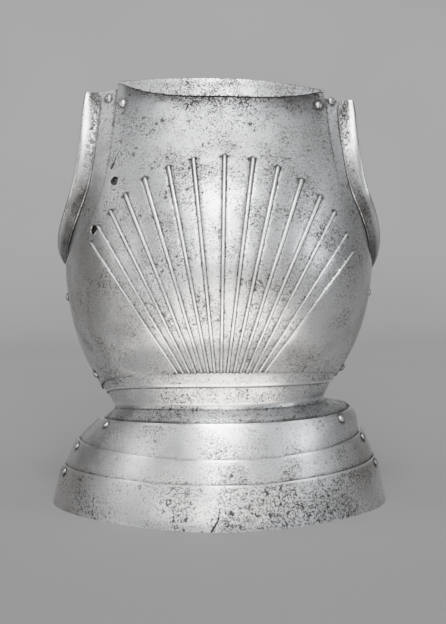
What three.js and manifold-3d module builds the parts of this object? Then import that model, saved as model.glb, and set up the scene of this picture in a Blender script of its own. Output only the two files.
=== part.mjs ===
// Fluted steel breastplate with two arm gussets, a waist plate and a fauld of three lames.
// Millimetres, Z up, X to the viewer's right. The chest faces -Y and the fauld's rim stands on Z = 0.
import * as THREE from 'three';
import { mergeVertices } from 'three/addons/utils/BufferGeometryUtils.js';
import Module from 'manifold-3d';

const wasm = await Module();
wasm.setup();

// Heights, from the rim up
const waist_height = 119;
const torso_height = 341;

// Widths across, and depths from the side plane forward
const chest_width = 333;
const chest_depth = 154;
const waist_width = 237;
const waist_depth = 95;
const neck_depth = 60;
const rim_width = 367;
const rim_depth = 141;

// Sheet steel and the play between sheets
const breast_wall = 2.0;
const gusset_wall = 1.6;
const waist_wall = 1.6;
const lame_wall = 1.5;
const plate_gap = 0.5;
const gusset_gap = 1.1;
const gusset_sink = 1.4;

// How far a sheet runs on beneath the one that covers it
const gusset_lap = 10.5;
const waist_lap = 23;
const lame_lap = 13;

// The angular turns at the neck and the arms
const neck_turn_width = 18;
const neck_turn_out = 8;
const neck_flare_length = 34;
const arm_turn_width = 14;
const arm_turn_out = 9.5;
const arm_flare_length = 16;
const neck_hem_lift = 3.0;
const arm_hem_lift = 2.2;
const turn_wall = 1.3;

// Flutes
const flute_count = 15;
const flute_height = 1.9;
const flute_foot_width = 4.4;
const flute_top_width = 6.6;
const flute_mouth_length = 12;
const flute_base = 0.58;
const flute_crest = 0.22;

// Band of the waist plate
const band_step = 1.6;

// Rivets and holes
const rivet_head = 8.8;
const rivet_dome = 3.0;
const rivet_shank = 4.2;
const rivet_tail = 7.0;
const rivet_sides = 8;
const rivet_clearance = 0.45;
const tail_clearance = 1.05;
const pivot_play = 0.4;
const lance_hole = 10.5;
const neck_hole = 4.6;

// Mesh fineness, in degrees round the body and stations along an edge
const column_step = 7.5;
const side_rows = 5;
const bend_rows = 7;
const upper_rows = 4;
const flute_stations = 5;

const degree = Math.PI / 180;
const chest_half = chest_width / 2;
const waist_half = waist_width / 2;
const rim_half = rim_width / 2;
const waist_sink = breast_wall + plate_gap + band_step;
const crease_half = waist_half - waist_sink;
const crease_depth = waist_depth - waist_sink;
const lame_step = lame_wall + plate_gap;

// Torso sections. up and rise are shares of torso_height; rise is how much higher the side lies
// than the front. wide and deep run from 0 at the waist to 1 at the chest, and deep_neck runs
// from 0 at the neck to 1 at the chest. square fills the section's shoulders out.
const torso_sections = [
  { up: 0.000, rise_left: -0.038, rise_right: -0.012,
    wide_left: 0.00, wide_right: 0.00, deep: 0.00, square: 0.03 },
  { up: 0.063, rise_left: -0.059, rise_right: -0.023,
    wide_left: 0.17, wide_right: 0.17, deep: 0.08, square: 0.03 },
  { up: 0.113, rise_left: -0.084, rise_right: -0.051,
    wide_left: 0.25, wide_right: 0.25, deep: 0.19, square: 0.04 },
  { up: 0.223, rise_left: -0.091, rise_right: -0.062,
    wide_left: 0.63, wide_right: 0.63, deep: 0.68, square: 0.05 },
  { up: 0.320, rise_left: -0.091, rise_right: -0.062,
    wide_left: 0.86, wide_right: 0.86, deep: 0.92, square: 0.06 },
  { up: 0.431, rise_left: -0.079, rise_right: -0.053,
    wide_left: 1.01, wide_right: 0.99, deep: 1.00, square: 0.06 },
  { up: 0.516, rise_left: -0.067, rise_right: -0.044,
    wide_left: 1.03, wide_right: 1.00, deep_neck: 0.96, square: 0.05 },
  { up: 0.630, rise_left: -0.053, rise_right: -0.032,
    wide_left: 1.01, wide_right: 0.99, deep_neck: 0.81, square: 0.04 },
  { up: 0.749, rise_left: -0.035, rise_right: -0.021,
    wide_left: 0.97, wide_right: 0.95, deep_neck: 0.55, square: 0.03 },
  { up: 0.856, rise_left: -0.018, rise_right: -0.012,
    wide_left: 0.93, wide_right: 0.91, deep_neck: 0.27, square: 0.02 },
  { up: 0.950, rise_left: -0.006, rise_right: -0.003,
    wide_left: 0.89, wide_right: 0.87, deep_neck: 0.07, square: 0.01 },
  { up: 1.000, rise_left: 0.000, rise_right: 0.000,
    wide_left: 0.87, wide_right: 0.85, deep_neck: 0.00, square: 0.00 },
];

// Fauld sections. up and rise are shares of waist_height, and wide and deep run from 0 at the
// waist's crease to 1 at the rim.
const fauld_sections = [
  { up: 0.000, rise_left: 0.000, rise_right: 0.000,
    wide_left: 0.98, wide_right: 1.00, deep: 1.00, square: -0.12 },
  { up: 0.387, rise_left: -0.025, rise_right: 0.055,
    wide_left: 0.78, wide_right: 0.79, deep: 0.84, square: -0.10 },
  { up: 0.588, rise_left: 0.017, rise_right: 0.110,
    wide_left: 0.56, wide_right: 0.58, deep: 0.66, square: -0.06 },
  { up: 0.870, rise_left: -0.088, rise_right: 0.030,
    wide_left: 0.21, wide_right: 0.43, deep: 0.28, square: 0.00 },
  { up: 1.000, rise_left: -0.109, rise_right: -0.034,
    wide_left: 0.00, wide_right: 0.00, deep: 0.00, square: 0.03 },
];

// Where the plates end on the torso, as shares of torso_height
const main_foot = 0.113;
const main_top = 0.991;
const band_foot = 0.063;
const side_wrap = 97;

// The main plate's arm edge: along is the share of the way up its whole side, angle is the
// place round the body and up the share of torso_height, on the left and on the right.
const arm_edge = [
  { along: 0.32, angle: 97.0, left_up: 0.481, right_up: 0.441 },
  { along: 0.38, angle: 88.0, left_up: 0.486, right_up: 0.449 },
  { along: 0.45, angle: 73.5, left_up: 0.502, right_up: 0.480 },
  { along: 0.52, angle: 60.0, left_up: 0.544, right_up: 0.536 },
  { along: 0.60, angle: 51.5, left_up: 0.592, right_up: 0.592 },
  { along: 0.70, angle: 45.5, left_up: 0.676, right_up: 0.670 },
  { along: 0.80, angle: 43.0, left_up: 0.768, right_up: 0.758 },
  { along: 0.90, angle: 42.0, left_up: 0.870, right_up: 0.857 },
  { along: 1.00, angle: 42.0, left_up: 0.994, right_up: 0.968 },
];

// The arm gusset, station by station from its top to its tip: where the main plate's edge over
// it is, the angle of the crest of its turn, how far the crest lies above that edge as a share of
// torso_height, and the share of the full turn that it has there.
const gusset_stations = [
  { along: 0.985, crest_left: 58.8, crest_right: 57.2, crest_rise: -0.016, turn: 0.80 },
  { along: 0.948, crest_left: 58.6, crest_right: 56.8, crest_rise: -0.005, turn: 1.00 },
  { along: 0.900, crest_left: 58.8, crest_right: 56.4, crest_rise: -0.002, turn: 1.00 },
  { along: 0.845, crest_left: 58.9, crest_right: 56.2, crest_rise: 0.002, turn: 1.00 },
  { along: 0.785, crest_left: 59.6, crest_right: 56.6, crest_rise: 0.008, turn: 1.00 },
  { along: 0.715, crest_left: 61.0, crest_right: 57.8, crest_rise: 0.016, turn: 1.00 },
  { along: 0.655, crest_left: 64.0, crest_right: 60.6, crest_rise: 0.025, turn: 1.00 },
  { along: 0.593, crest_left: 68.5, crest_right: 65.2, crest_rise: 0.035, turn: 1.00 },
  { along: 0.535, crest_left: 73.6, crest_right: 70.6, crest_rise: 0.037, turn: 1.00 },
  { along: 0.487, crest_left: 79.0, crest_right: 76.6, crest_rise: 0.038, turn: 0.95 },
  { along: 0.450, crest_left: 84.6, crest_right: 82.8, crest_rise: 0.037, turn: 0.85 },
  { along: 0.405, crest_left: 89.0, crest_right: 88.0, crest_rise: 0.030, turn: 0.65 },
  { along: 0.365, crest_left: 92.5, crest_right: 92.0, crest_rise: 0.020, turn: 0.35 },
];

// Upper ends of the flutes from the middle one outwards: the angle round the body, the share of
// torso_height on the left and on the right, and the width as a share of flute_top_width.
const flute_tops = [
  { angle: 0.4, left_up: 0.760, right_up: 0.760, width: 1.00 },
  { angle: 10.0, left_up: 0.752, right_up: 0.752, width: 1.00 },
  { angle: 18.5, left_up: 0.729, right_up: 0.727, width: 1.00 },
  { angle: 27.0, left_up: 0.697, right_up: 0.691, width: 1.00 },
  { angle: 34.3, left_up: 0.653, right_up: 0.645, width: 0.95 },
  { angle: 40.6, left_up: 0.609, right_up: 0.602, width: 0.80 },
  { angle: 46.6, left_up: 0.568, right_up: 0.539, width: 0.65 },
  { angle: 50.4, left_up: 0.524, right_up: 0.490, width: 0.55 },
];
const flute_foot_spread = 2.65;
const flute_foot_shift = -0.9;
const flute_start = 0.004;
const fan_viewpoint = { x: -53, y: -1409, z: 335 };

// The lames of the fauld: top is the share of waist_height, left and right are where the lame
// ends round the body, and the pivots are its two rivets, a little below its top edge.
// end_play is the extra room that opens behind the pivots.
const lames = [
  { name: 'fauld_lame_1', top: 0.870, left: -90, right: 80, pivot_left: -67, pivot_right: 60, end_play: 2.0 },
  { name: 'fauld_lame_2', top: 0.588, left: -89, right: 88, pivot_left: -80, pivot_right: 79, end_play: 0.7 },
  { name: 'fauld_lame_3', top: 0.387, left: -89, right: 89, pivot_left: -81, pivot_right: 81, end_play: 0.7 },
];
const pivot_drop = 5.8;

// Rivets and holes on the torso, by angle and share of torso_height
const torso_rivets = [
  { name: 'gusset_rivet', sheets: 'main_gusset', left: -39.0, left_up: 0.928, right: 38.6, right_up: 0.922 },
  { name: 'shoulder_rivet', sheets: 'gusset', left: -47.2, left_up: 0.948, right: 46.8, right_up: 0.941 },
  { name: 'side_rivet', sheets: 'main', left: -89.0, left_up: 0.402, right: 88.0, right_up: 0.388 },
  { name: 'waist_rivet', sheets: 'main_waist', left: -82.0, left_up: 0.150, right: 84.0, right_up: 0.142 },
];
const lance_holes = [
  { angle: -39.7, up: 0.697 },
  { angle: -49.2, up: 0.561 },
];
const neck_holes = [
  { angle: -0.9, up: 0.942 },
  { angle: 2.8, up: 0.942 },
];

function steel(name, color, roughness) {
  return new THREE.MeshStandardMaterial({ name, color, roughness, metalness: 1 });
}
const breast_steel = steel('breast_steel', 0xc9c9c6, 0.34);
const gusset_steel = steel('gusset_steel', 0xb9b9b5, 0.36);
const waist_steel = steel('waist_steel', 0xb4b6b8, 0.38);
const lame_steel = steel('lame_steel', 0xc4c4c2, 0.36);
const rivet_steel = steel('rivet_steel', 0x9a9894, 0.42);

// Sections turned from shares into millimetres
const torso = torso_sections.map((row) => ({
  up: row.up,
  rise_left: row.rise_left * torso_height,
  rise_right: row.rise_right * torso_height,
  half_left: waist_half + (chest_half - waist_half) * row.wide_left,
  half_right: waist_half + (chest_half - waist_half) * row.wide_right,
  depth: row.deep_neck === undefined
    ? waist_depth + (chest_depth - waist_depth) * row.deep
    : neck_depth + (chest_depth - neck_depth) * row.deep_neck,
  square: row.square,
}));
const fauld = fauld_sections.map((row) => ({
  up: row.up,
  rise_left: row.rise_left * waist_height,
  rise_right: row.rise_right * waist_height,
  half_left: crease_half + (rim_half - crease_half) * row.wide_left,
  half_right: crease_half + (rim_half - crease_half) * row.wide_right,
  depth: crease_depth + (rim_depth - crease_depth) * row.deep,
  square: row.square,
}));

// A smooth curve through one column of a table, read along another column
function smooth(rows, key, column, at) {
  let i = 0;
  while (i < rows.length - 2 && at > rows[i + 1][key]) i += 1;
  const slope = (j) => {
    const before = rows[Math.max(j - 1, 0)];
    const after = rows[Math.min(j + 1, rows.length - 1)];
    return (after[column] - before[column]) / (after[key] - before[key]);
  };
  const span = rows[i + 1][key] - rows[i][key];
  const t = (at - rows[i][key]) / span;
  const start = (2 * t - 3) * t * t + 1;
  const leave = ((t - 2) * t + 1) * t;
  const arrive = (t - 1) * t * t;
  return start * rows[i][column] + (1 - start) * rows[i + 1][column]
    + span * (leave * slope(i) + arrive * slope(i + 1));
}

function body_point(rows, foot, height, angle, up) {
  const side = angle < 0 ? 'left' : 'right';
  const turn = angle * degree;
  const half = smooth(rows, 'up', `half_${side}`, up);
  const rise = smooth(rows, 'up', `rise_${side}`, up);
  const square = smooth(rows, 'up', 'square', up);
  return new THREE.Vector3(
    half * Math.sin(turn + square * Math.sin(2 * turn)),
    -smooth(rows, 'up', 'depth', up) * Math.cos(turn),
    foot + height * up + rise * (angle / 90) ** 2,
  );
}
const torso_form = (angle, up) => body_point(torso, waist_height, torso_height, angle, up);
const fauld_form = (angle, up) => body_point(fauld, 0, waist_height, angle, up);

// Directions on a form: across it, up it and straight out of it
function directions(form, angle, up) {
  const turn = 0.2;
  const lift = 0.002;
  const across = form(angle + turn, up).sub(form(angle - turn, up)).normalize();
  const upward = form(angle, up + lift).sub(form(angle, up - lift)).normalize();
  const out = new THREE.Vector3().crossVectors(across, upward).normalize();
  return { across, upward, out };
}
function raised(form, angle, up, offset) {
  return form(angle, up).addScaledVector(directions(form, angle, up).out, offset);
}

// A closed solid from points and faces, turned right side out
function solid(points, faces) {
  let volume = 0;
  for (const [a, b, c] of faces) {
    volume += points[a].dot(new THREE.Vector3().crossVectors(points[b], points[c]));
  }
  const triangles = volume < 0 ? faces.map(([a, b, c]) => [a, c, b]) : faces;
  return new wasm.Manifold(new wasm.Mesh({
    numProp: 3,
    vertProperties: new Float32Array(points.flatMap((p) => [p.x, p.y, p.z])),
    triVerts: new Uint32Array(triangles.flat()),
  }));
}

// A sheet of steel from the points of its under side and its upper side
function sheet(under, over) {
  const stations = under.length;
  const steps = under[0].length;
  const below = (i, j) => i * steps + j;
  const above = (i, j) => (stations + i) * steps + j;
  const faces = [];
  const quad = (a, b, c, d) => faces.push([a, b, c], [a, c, d]);
  for (let i = 0; i < stations - 1; i += 1) {
    for (let j = 0; j < steps - 1; j += 1) {
      quad(above(i, j), above(i + 1, j), above(i + 1, j + 1), above(i, j + 1));
      quad(below(i, j), below(i, j + 1), below(i + 1, j + 1), below(i + 1, j));
    }
    quad(above(i + 1, 0), above(i, 0), below(i, 0), below(i + 1, 0));
    quad(above(i, steps - 1), above(i + 1, steps - 1), below(i + 1, steps - 1), below(i, steps - 1));
  }
  for (let j = 0; j < steps - 1; j += 1) {
    quad(above(0, j), above(0, j + 1), below(0, j + 1), below(0, j));
    const last = stations - 1;
    quad(above(last, j + 1), above(last, j), below(last, j), below(last, j + 1));
  }
  return solid([...under.flat(), ...over.flat()], faces);
}

// A bar through rings of points, closed at both ends
function bar(rings) {
  const sides = rings[0].length;
  const faces = [];
  for (let i = 0; i < rings.length - 1; i += 1) {
    for (let j = 0; j < sides; j += 1) {
      const k = (j + 1) % sides;
      const [a, b] = [i * sides, (i + 1) * sides];
      faces.push([a + j, a + k, b + k], [a + j, b + k, b + j]);
    }
  }
  const end = (rings.length - 1) * sides;
  for (let j = 1; j < sides - 1; j += 1) {
    faces.push([0, j + 1, j], [end, end + j, end + j + 1]);
  }
  return solid(rings.flat(), faces);
}

// A round cutter straight through a form, centred on its outer face
function round_cutter(form, angle, up, diameter, sides) {
  const reach = 14;
  const centre = form(angle, up);
  const { out } = directions(form, angle, up);
  const geometry = new THREE.CylinderGeometry(diameter / 2, diameter / 2, 2 * reach, sides);
  geometry.applyQuaternion(new THREE.Quaternion().setFromUnitVectors(new THREE.Vector3(0, 1, 0), out));
  geometry.translate(centre.x, centre.y, centre.z);
  return from_geometry(geometry);
}

function from_geometry(geometry) {
  geometry.deleteAttribute('normal');
  geometry.deleteAttribute('uv');
  const merged = mergeVertices(geometry, 1e-4);
  const place = merged.getAttribute('position');
  const points = [];
  for (let i = 0; i < place.count; i += 1) {
    points.push(new THREE.Vector3().fromBufferAttribute(place, i));
  }
  const index = merged.getIndex().array;
  const faces = [];
  for (let i = 0; i < index.length; i += 3) {
    const face = [index[i], index[i + 1], index[i + 2]];
    if (new Set(face).size === 3) faces.push(face);
  }
  return solid(points, faces);
}

function to_geometry(body) {
  const mesh = body.getMesh();
  const geometry = new THREE.BufferGeometry();
  geometry.setAttribute('position', new THREE.BufferAttribute(new Float32Array(mesh.vertProperties), 3));
  geometry.setIndex(new THREE.BufferAttribute(new Uint32Array(mesh.triVerts), 1));
  geometry.computeVertexNormals();
  return geometry;
}

// Angles of a plate's columns: its two ends and every step between them
function columns(left, right) {
  const list = [left];
  const first = Math.floor(left / column_step + 1.3) * column_step;
  for (let angle = first; angle < right - 0.3 * column_step; angle += column_step) list.push(angle);
  list.push(right);
  return list;
}

// Points of a turned edge on one station: place(e) gives the form's angle and up at a distance
// e from the crest. The sheet flares out to the crest and folds back to a free hem.
function turned_edge(form, place, turn) {
  const at = (distance, offset) => {
    const spot = place(distance);
    return raised(form, spot.angle, spot.up, offset);
  };
  const flare = (distance) => {
    const share = Math.max(0, 1 - distance / turn.flare_length);
    return turn.layer + (turn.out - turn.layer) * share ** 2;
  };
  const under = [];
  const over = [];
  for (const share of [1, 0.72, 0.46, 0.22]) {
    const distance = share * turn.flare_length;
    under.push(at(distance, flare(distance) - turn.wall));
    over.push(at(distance, flare(distance)));
  }
  const crotch = 0.16 * turn.width;
  under.push(at(0, turn.out));
  over.push(at(crotch, turn.out - turn.wall));
  under.push(at(turn.width / 2, (turn.out + turn.lift) / 2 + 0.4 * turn_wall));
  over.push(at(turn.width / 2, (turn.out + turn.lift) / 2 - 0.6 * turn_wall));
  under.push(at(turn.width, turn.lift + turn_wall / 2));
  over.push(at(turn.width, turn.lift - turn_wall / 2));
  return { under, over };
}

// The side of the main plate at a share of the way up: the side edge, then the arm edge
function main_side(share, side) {
  const corner = arm_edge[0];
  if (share <= corner.along) {
    const climb = share / corner.along;
    return { angle: side_wrap, up: main_foot + (corner[`${side}_up`] - main_foot) * climb };
  }
  return {
    angle: smooth(arm_edge, 'along', 'angle', share),
    up: smooth(arm_edge, 'along', `${side}_up`, share),
  };
}
function main_place(column, share) {
  const side = column < 0 ? 'left' : 'right';
  const edge = main_side(share, side);
  const middle = main_foot + (main_top - main_foot) * share;
  const bend = Math.abs(column) ** 1.4;
  return { angle: column * edge.angle, up: middle + (edge.up - middle) * bend };
}

// A point's place across and up when it is looked at from the viewpoint of the flutes' fan
function seen(point) {
  const away = point.y - fan_viewpoint.y;
  return { across: (point.x - fan_viewpoint.x) / away, up: (point.z - fan_viewpoint.z) / away, away };
}

// The place on the torso that is seen from the viewpoint at a place across and up
function torso_spot(across, up) {
  const spot = { angle: 0, up: 0.5 };
  const step = 0.5;
  for (let pass = 0; pass < 14; pass += 1) {
    const here = seen(torso_form(spot.angle, spot.up));
    const there = seen(torso_form(spot.angle + step, spot.up));
    spot.angle += step * (across - here.across) / (there.across - here.across);
    spot.up += (up - here.up) * here.away / torso_height;
  }
  return spot;
}

// A flute runs straight from its foot to its top as it is seen from the viewpoint
function flute_path(number, share) {
  const middle = (flute_count - 1) / 2;
  const step = number - middle;
  const top = flute_tops[Math.abs(step)];
  const top_angle = step === 0 ? top.angle : Math.sign(step) * top.angle;
  const top_up = step < 0 ? top.left_up : top.right_up;
  const foot = seen(torso_form(step * flute_foot_spread + flute_foot_shift, main_foot));
  const end = seen(torso_form(top_angle, top_up));
  const across = foot.across + (end.across - foot.across) * share;
  return torso_spot(across, foot.up + (end.up - foot.up) * share);
}

// One flute as a ridge on the form. sunk is how far its base lies under the form's face, and
// lower and narrow make the smaller ridge that hollows it from behind.
function flute_bar(number, from, to, stations, { sunk, lower, narrow }) {
  const rings = [];
  const ahead_step = 0.01;
  const top = flute_tops[Math.abs(number - (flute_count - 1) / 2)];
  for (let i = 0; i <= stations; i += 1) {
    const share = from + (to - from) * (i / stations);
    const here = flute_path(number, share);
    const ahead = flute_path(number, share + ahead_step);
    const point = torso_form(here.angle, here.up);
    const along = torso_form(ahead.angle, ahead.up).sub(point).normalize();
    const { out } = directions(torso_form, here.angle, here.up);
    const across = new THREE.Vector3().crossVectors(along, out).normalize();
    const spread = top.width * flute_top_width - flute_foot_width;
    const width = narrow * (flute_foot_width + spread * share);
    const corner = (side, offset) => point.clone()
      .addScaledVector(across, side * width)
      .addScaledVector(out, offset - lower);
    rings.push([
      corner(-flute_base, -sunk),
      corner(-flute_crest, flute_height),
      corner(flute_crest, flute_height),
      corner(flute_base, -sunk),
    ]);
  }
  return bar(rings);
}

// Shares of the way up at which the main plate has a row of points, below its neck's flare
function main_rows(flare_start) {
  const bend_start = arm_edge[0].along;
  const bend_end = arm_edge[4].along;
  const shares = [];
  const spread = (from, to, count) => {
    for (let j = 0; j < count; j += 1) shares.push(from + (to - from) * (j / count));
  };
  spread(0, bend_start, side_rows);
  spread(bend_start, bend_end, bend_rows);
  spread(bend_end, flare_start, upper_rows);
  return shares;
}

function make_breast_plate() {
  const angles = columns(-side_wrap, side_wrap);
  const under = [];
  const over = [];
  for (const angle of angles) {
    const column = angle / side_wrap;
    const taper = Math.max(0.1, 1 - column ** 2);
    const crest = main_place(column, 1);
    const lower = torso_form(crest.angle, crest.up - 0.05);
    const slope = torso_form(crest.angle, crest.up).distanceTo(lower) / 0.05;
    const flare_length = neck_flare_length * Math.sqrt(taper);
    const start = 1 - flare_length / (slope * (main_top - main_foot));
    const below = [];
    const above = [];
    for (const share of main_rows(start)) {
      const spot = main_place(column, share);
      below.push(raised(torso_form, spot.angle, spot.up, -breast_wall));
      above.push(raised(torso_form, spot.angle, spot.up, 0));
    }
    const place = (distance) => main_place(column, 1 - (1 - start) * (distance / flare_length));
    const edge = turned_edge(torso_form, place, {
      width: neck_turn_width * taper,
      out: neck_turn_out * taper,
      flare_length,
      lift: neck_hem_lift * Math.sqrt(taper),
      layer: 0,
      wall: breast_wall,
    });
    under.push([...below, ...edge.under]);
    over.push([...above, ...edge.over]);
  }
  let plate = sheet(under, over);
  const ridge = { sunk: breast_wall / 2, lower: 0, narrow: 1 };
  for (let number = 0; number < flute_count; number += 1) {
    plate = plate.add(flute_bar(number, flute_start, 1, flute_stations, ridge));
  }
  const mouth_share = flute_mouth_length / torso_height / (flute_tops[0].left_up - main_foot);
  const mouth = { sunk: 1.1 * breast_wall, lower: 0.55 * breast_wall, narrow: 0.72 };
  for (let number = 0; number < flute_count; number += 1) {
    plate = plate.subtract(flute_bar(number, -mouth_share / 2, mouth_share, 1, mouth));
  }
  for (const hole of lance_holes) {
    plate = plate.subtract(round_cutter(torso_form, hole.angle, hole.up, lance_hole, 16));
  }
  for (const hole of neck_holes) {
    plate = plate.subtract(round_cutter(torso_form, hole.angle, hole.up, neck_hole, 10));
  }
  for (const rivet of torso_rivets.filter((row) => row.sheets.includes('main'))) {
    plate = plate.subtract(shank_cutter(torso_form, rivet.left, rivet.left_up));
    plate = plate.subtract(shank_cutter(torso_form, rivet.right, rivet.right_up));
  }
  return plate;
}

function shank_cutter(form, angle, up) {
  return round_cutter(form, angle, up, rivet_shank + 2 * rivet_clearance, 8);
}

function make_gusset(side) {
  const sign = side === 'left' ? -1 : 1;
  const layer = -(breast_wall + gusset_gap);
  const under = [];
  const over = [];
  for (const row of gusset_stations) {
    const edge = main_side(row.along, side);
    const crest_angle = row[`crest_${side}`];
    const edge_point = torso_form(sign * edge.angle, edge.up);
    const crest_point = torso_form(sign * crest_angle, edge.up + row.crest_rise);
    const width = edge_point.distanceTo(crest_point);
    const place = (distance) => ({
      angle: sign * (crest_angle + (edge.angle - crest_angle) * (distance / width)),
      up: edge.up + row.crest_rise * (1 - distance / width),
    });
    const flare_length = Math.min(arm_flare_length, 0.8 * width);
    const below = [];
    const above = [];
    for (const share of [1, 0.66, 0.33]) {
      const distance = flare_length + (width + gusset_lap - flare_length) * share;
      const spot = place(distance);
      const sunk = layer - gusset_sink * Math.max(0, distance - width) / gusset_lap;
      below.push(raised(torso_form, spot.angle, spot.up, sunk - gusset_wall));
      above.push(raised(torso_form, spot.angle, spot.up, sunk));
    }
    const turned = turned_edge(torso_form, place, {
      width: Math.min(arm_turn_width * row.turn, 0.6 * width),
      out: arm_turn_out * row.turn,
      flare_length,
      lift: layer + arm_hem_lift,
      layer,
      wall: gusset_wall,
    });
    under.push([...below, ...turned.under]);
    over.push([...above, ...turned.over]);
  }
  let plate = sheet(under, over);
  for (const rivet of torso_rivets.filter((row) => row.sheets.includes('gusset'))) {
    plate = plate.subtract(shank_cutter(torso_form, rivet[side], rivet[`${side}_up`]));
  }
  return plate;
}

// How far a lame's outer face stands off the fauld's form at a height
function lame_offset(number, up) {
  const lame = lames[number];
  const next = lames[number + 1];
  const foot = next ? next.top : 0;
  if (up < foot) return lame_offset(number + 1, up) - lame_step;
  return lame_step * (up - foot) / (lame.top - foot);
}
// The extra room behind the pivots of a lame and of those inside it
function end_room(number, angle) {
  let room = 0;
  for (const lame of lames.slice(0, number + 1)) {
    const pivot = angle < 0 ? lame.pivot_left : lame.pivot_right;
    const behind = Math.cos(pivot * degree) - Math.cos(angle * degree);
    room += lame.end_play * Math.max(0, behind / Math.cos(pivot * degree));
  }
  return room;
}

function lame_form(number) {
  return (angle, up) => raised(fauld_form, angle, up, lame_offset(number, up) + end_room(number, angle));
}

function make_waist_plate() {
  const flange_foot = lames[0].top - lame_lap / waist_height;
  const cover = -(breast_wall + plate_gap);
  const lip = 0.8 / torso_height;
  const torso_path = [
    { up: main_foot + waist_lap / torso_height, offset: cover },
    { up: main_foot + 0.5 * waist_lap / torso_height, offset: cover },
    { up: main_foot, offset: cover },
    { up: (main_foot + band_foot) / 2, offset: cover },
    { up: band_foot + lip, offset: cover },
    { up: band_foot - lip, offset: cover - band_step },
    { up: 0.45 * band_foot, offset: cover - band_step },
  ];
  const fauld_path = [
    { up: 1, offset: 0 },
    { up: 0.955, offset: 0 },
    { up: lames[0].top, offset: 0 },
    { up: (lames[0].top + flange_foot) / 2 },
    { up: flange_foot },
  ];
  const under = [];
  const over = [];
  for (const angle of columns(-side_wrap, side_wrap)) {
    const below = [];
    const above = [];
    for (const { up, offset } of torso_path) {
      below.push(raised(torso_form, angle, up, offset - waist_wall));
      above.push(raised(torso_form, angle, up, offset));
    }
    for (const { up, offset } of fauld_path) {
      const out = offset ?? lame_offset(0, up) - lame_step;
      below.push(raised(fauld_form, angle, up, out - waist_wall));
      above.push(raised(fauld_form, angle, up, out));
    }
    under.push(below);
    over.push(above);
  }
  let plate = sheet(under, over);
  const joined = torso_rivets.find((row) => row.sheets === 'main_waist');
  plate = plate.subtract(shank_cutter(torso_form, joined.left, joined.left_up));
  plate = plate.subtract(shank_cutter(torso_form, joined.right, joined.right_up));
  for (const pivot of pivots(0)) {
    plate = plate.subtract(shank_cutter(lame_form(0), pivot.angle, pivot.up));
  }
  return plate;
}

// The two pivots of a lame
function pivots(number) {
  const lame = lames[number];
  const up = lame.top - pivot_drop / waist_height;
  return [
    { side: 'right', angle: lame.pivot_left, up },
    { side: 'left', angle: lame.pivot_right, up },
  ];
}

function make_lame(number) {
  const lame = lames[number];
  const next = lames[number + 1];
  const lap = lame_lap / waist_height;
  const foot = next ? next.top - lap : 0;
  const lower = next ? [foot, next.top - lap / 2, next.top] : [0, (lame.top - lap) / 2];
  const heights = [...lower, lame.top - lap, lame.top - lap / 2, lame.top];
  const under = [];
  const over = [];
  for (const angle of columns(lame.left, lame.right)) {
    const room = end_room(number, angle);
    const below = [];
    const above = [];
    for (const up of heights) {
      const out = lame_offset(number, up) + room;
      below.push(raised(fauld_form, angle, up, out - lame_wall));
      above.push(raised(fauld_form, angle, up, out));
    }
    if (foot === 0) {
      below[0].z = 0;
      above[0].z = 0;
    }
    under.push(below);
    over.push(above);
  }
  let plate = sheet(under, over);
  for (const pivot of pivots(number)) {
    plate = plate.subtract(shank_cutter(lame_form(number), pivot.angle, pivot.up));
  }
  for (const pivot of next ? pivots(number + 1) : []) {
    plate = plate.subtract(shank_cutter(lame_form(number + 1), pivot.angle, pivot.up));
  }
  return plate;
}

// A domed rivet on +Y whose outer sheet's face is at 0 and whose grip runs down from there
function rivet_geometry(grip) {
  const head = rivet_head / 2;
  const seat = rivet_clearance;
  const tail = -grip - tail_clearance;
  const profile = [
    [0, tail - 1.2],
    [0.85 * rivet_tail / 2, tail - 0.9],
    [rivet_tail / 2, tail],
    [rivet_shank / 2, tail],
    [rivet_shank / 2, seat],
    [head, seat],
    [0.86 * head, seat + 0.55 * rivet_dome],
    [0.45 * head, seat + 0.92 * rivet_dome],
    [0, seat + rivet_dome],
  ];
  const outline = profile.map(([r, y]) => new THREE.Vector2(r, y));
  return to_geometry(from_geometry(new THREE.LatheGeometry(outline, rivet_sides)));
}
function rivet_mesh(name, form, angle, up, offset, grip) {
  const mesh = new THREE.Mesh(rivet_geometry(grip), rivet_steel);
  const { out } = directions(form, angle, up);
  mesh.name = name;
  mesh.position.copy(form(angle, up).addScaledVector(out, offset));
  mesh.quaternion.setFromUnitVectors(new THREE.Vector3(0, 1, 0), out);
  return mesh;
}

function plate_mesh(name, body, material) {
  const mesh = new THREE.Mesh(to_geometry(body), material);
  mesh.name = name;
  return mesh;
}

const cuirass = new THREE.Group();
cuirass.name = 'cuirass_breastplate';
cuirass.add(plate_mesh('breast_plate', make_breast_plate(), breast_steel));
cuirass.add(plate_mesh('arm_gusset_right', make_gusset('left'), gusset_steel));
cuirass.add(plate_mesh('arm_gusset_left', make_gusset('right'), gusset_steel));
cuirass.add(plate_mesh('waist_plate', make_waist_plate(), waist_steel));
for (let number = 0; number < lames.length; number += 1) {
  cuirass.add(plate_mesh(lames[number].name, make_lame(number), lame_steel));
}

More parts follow.
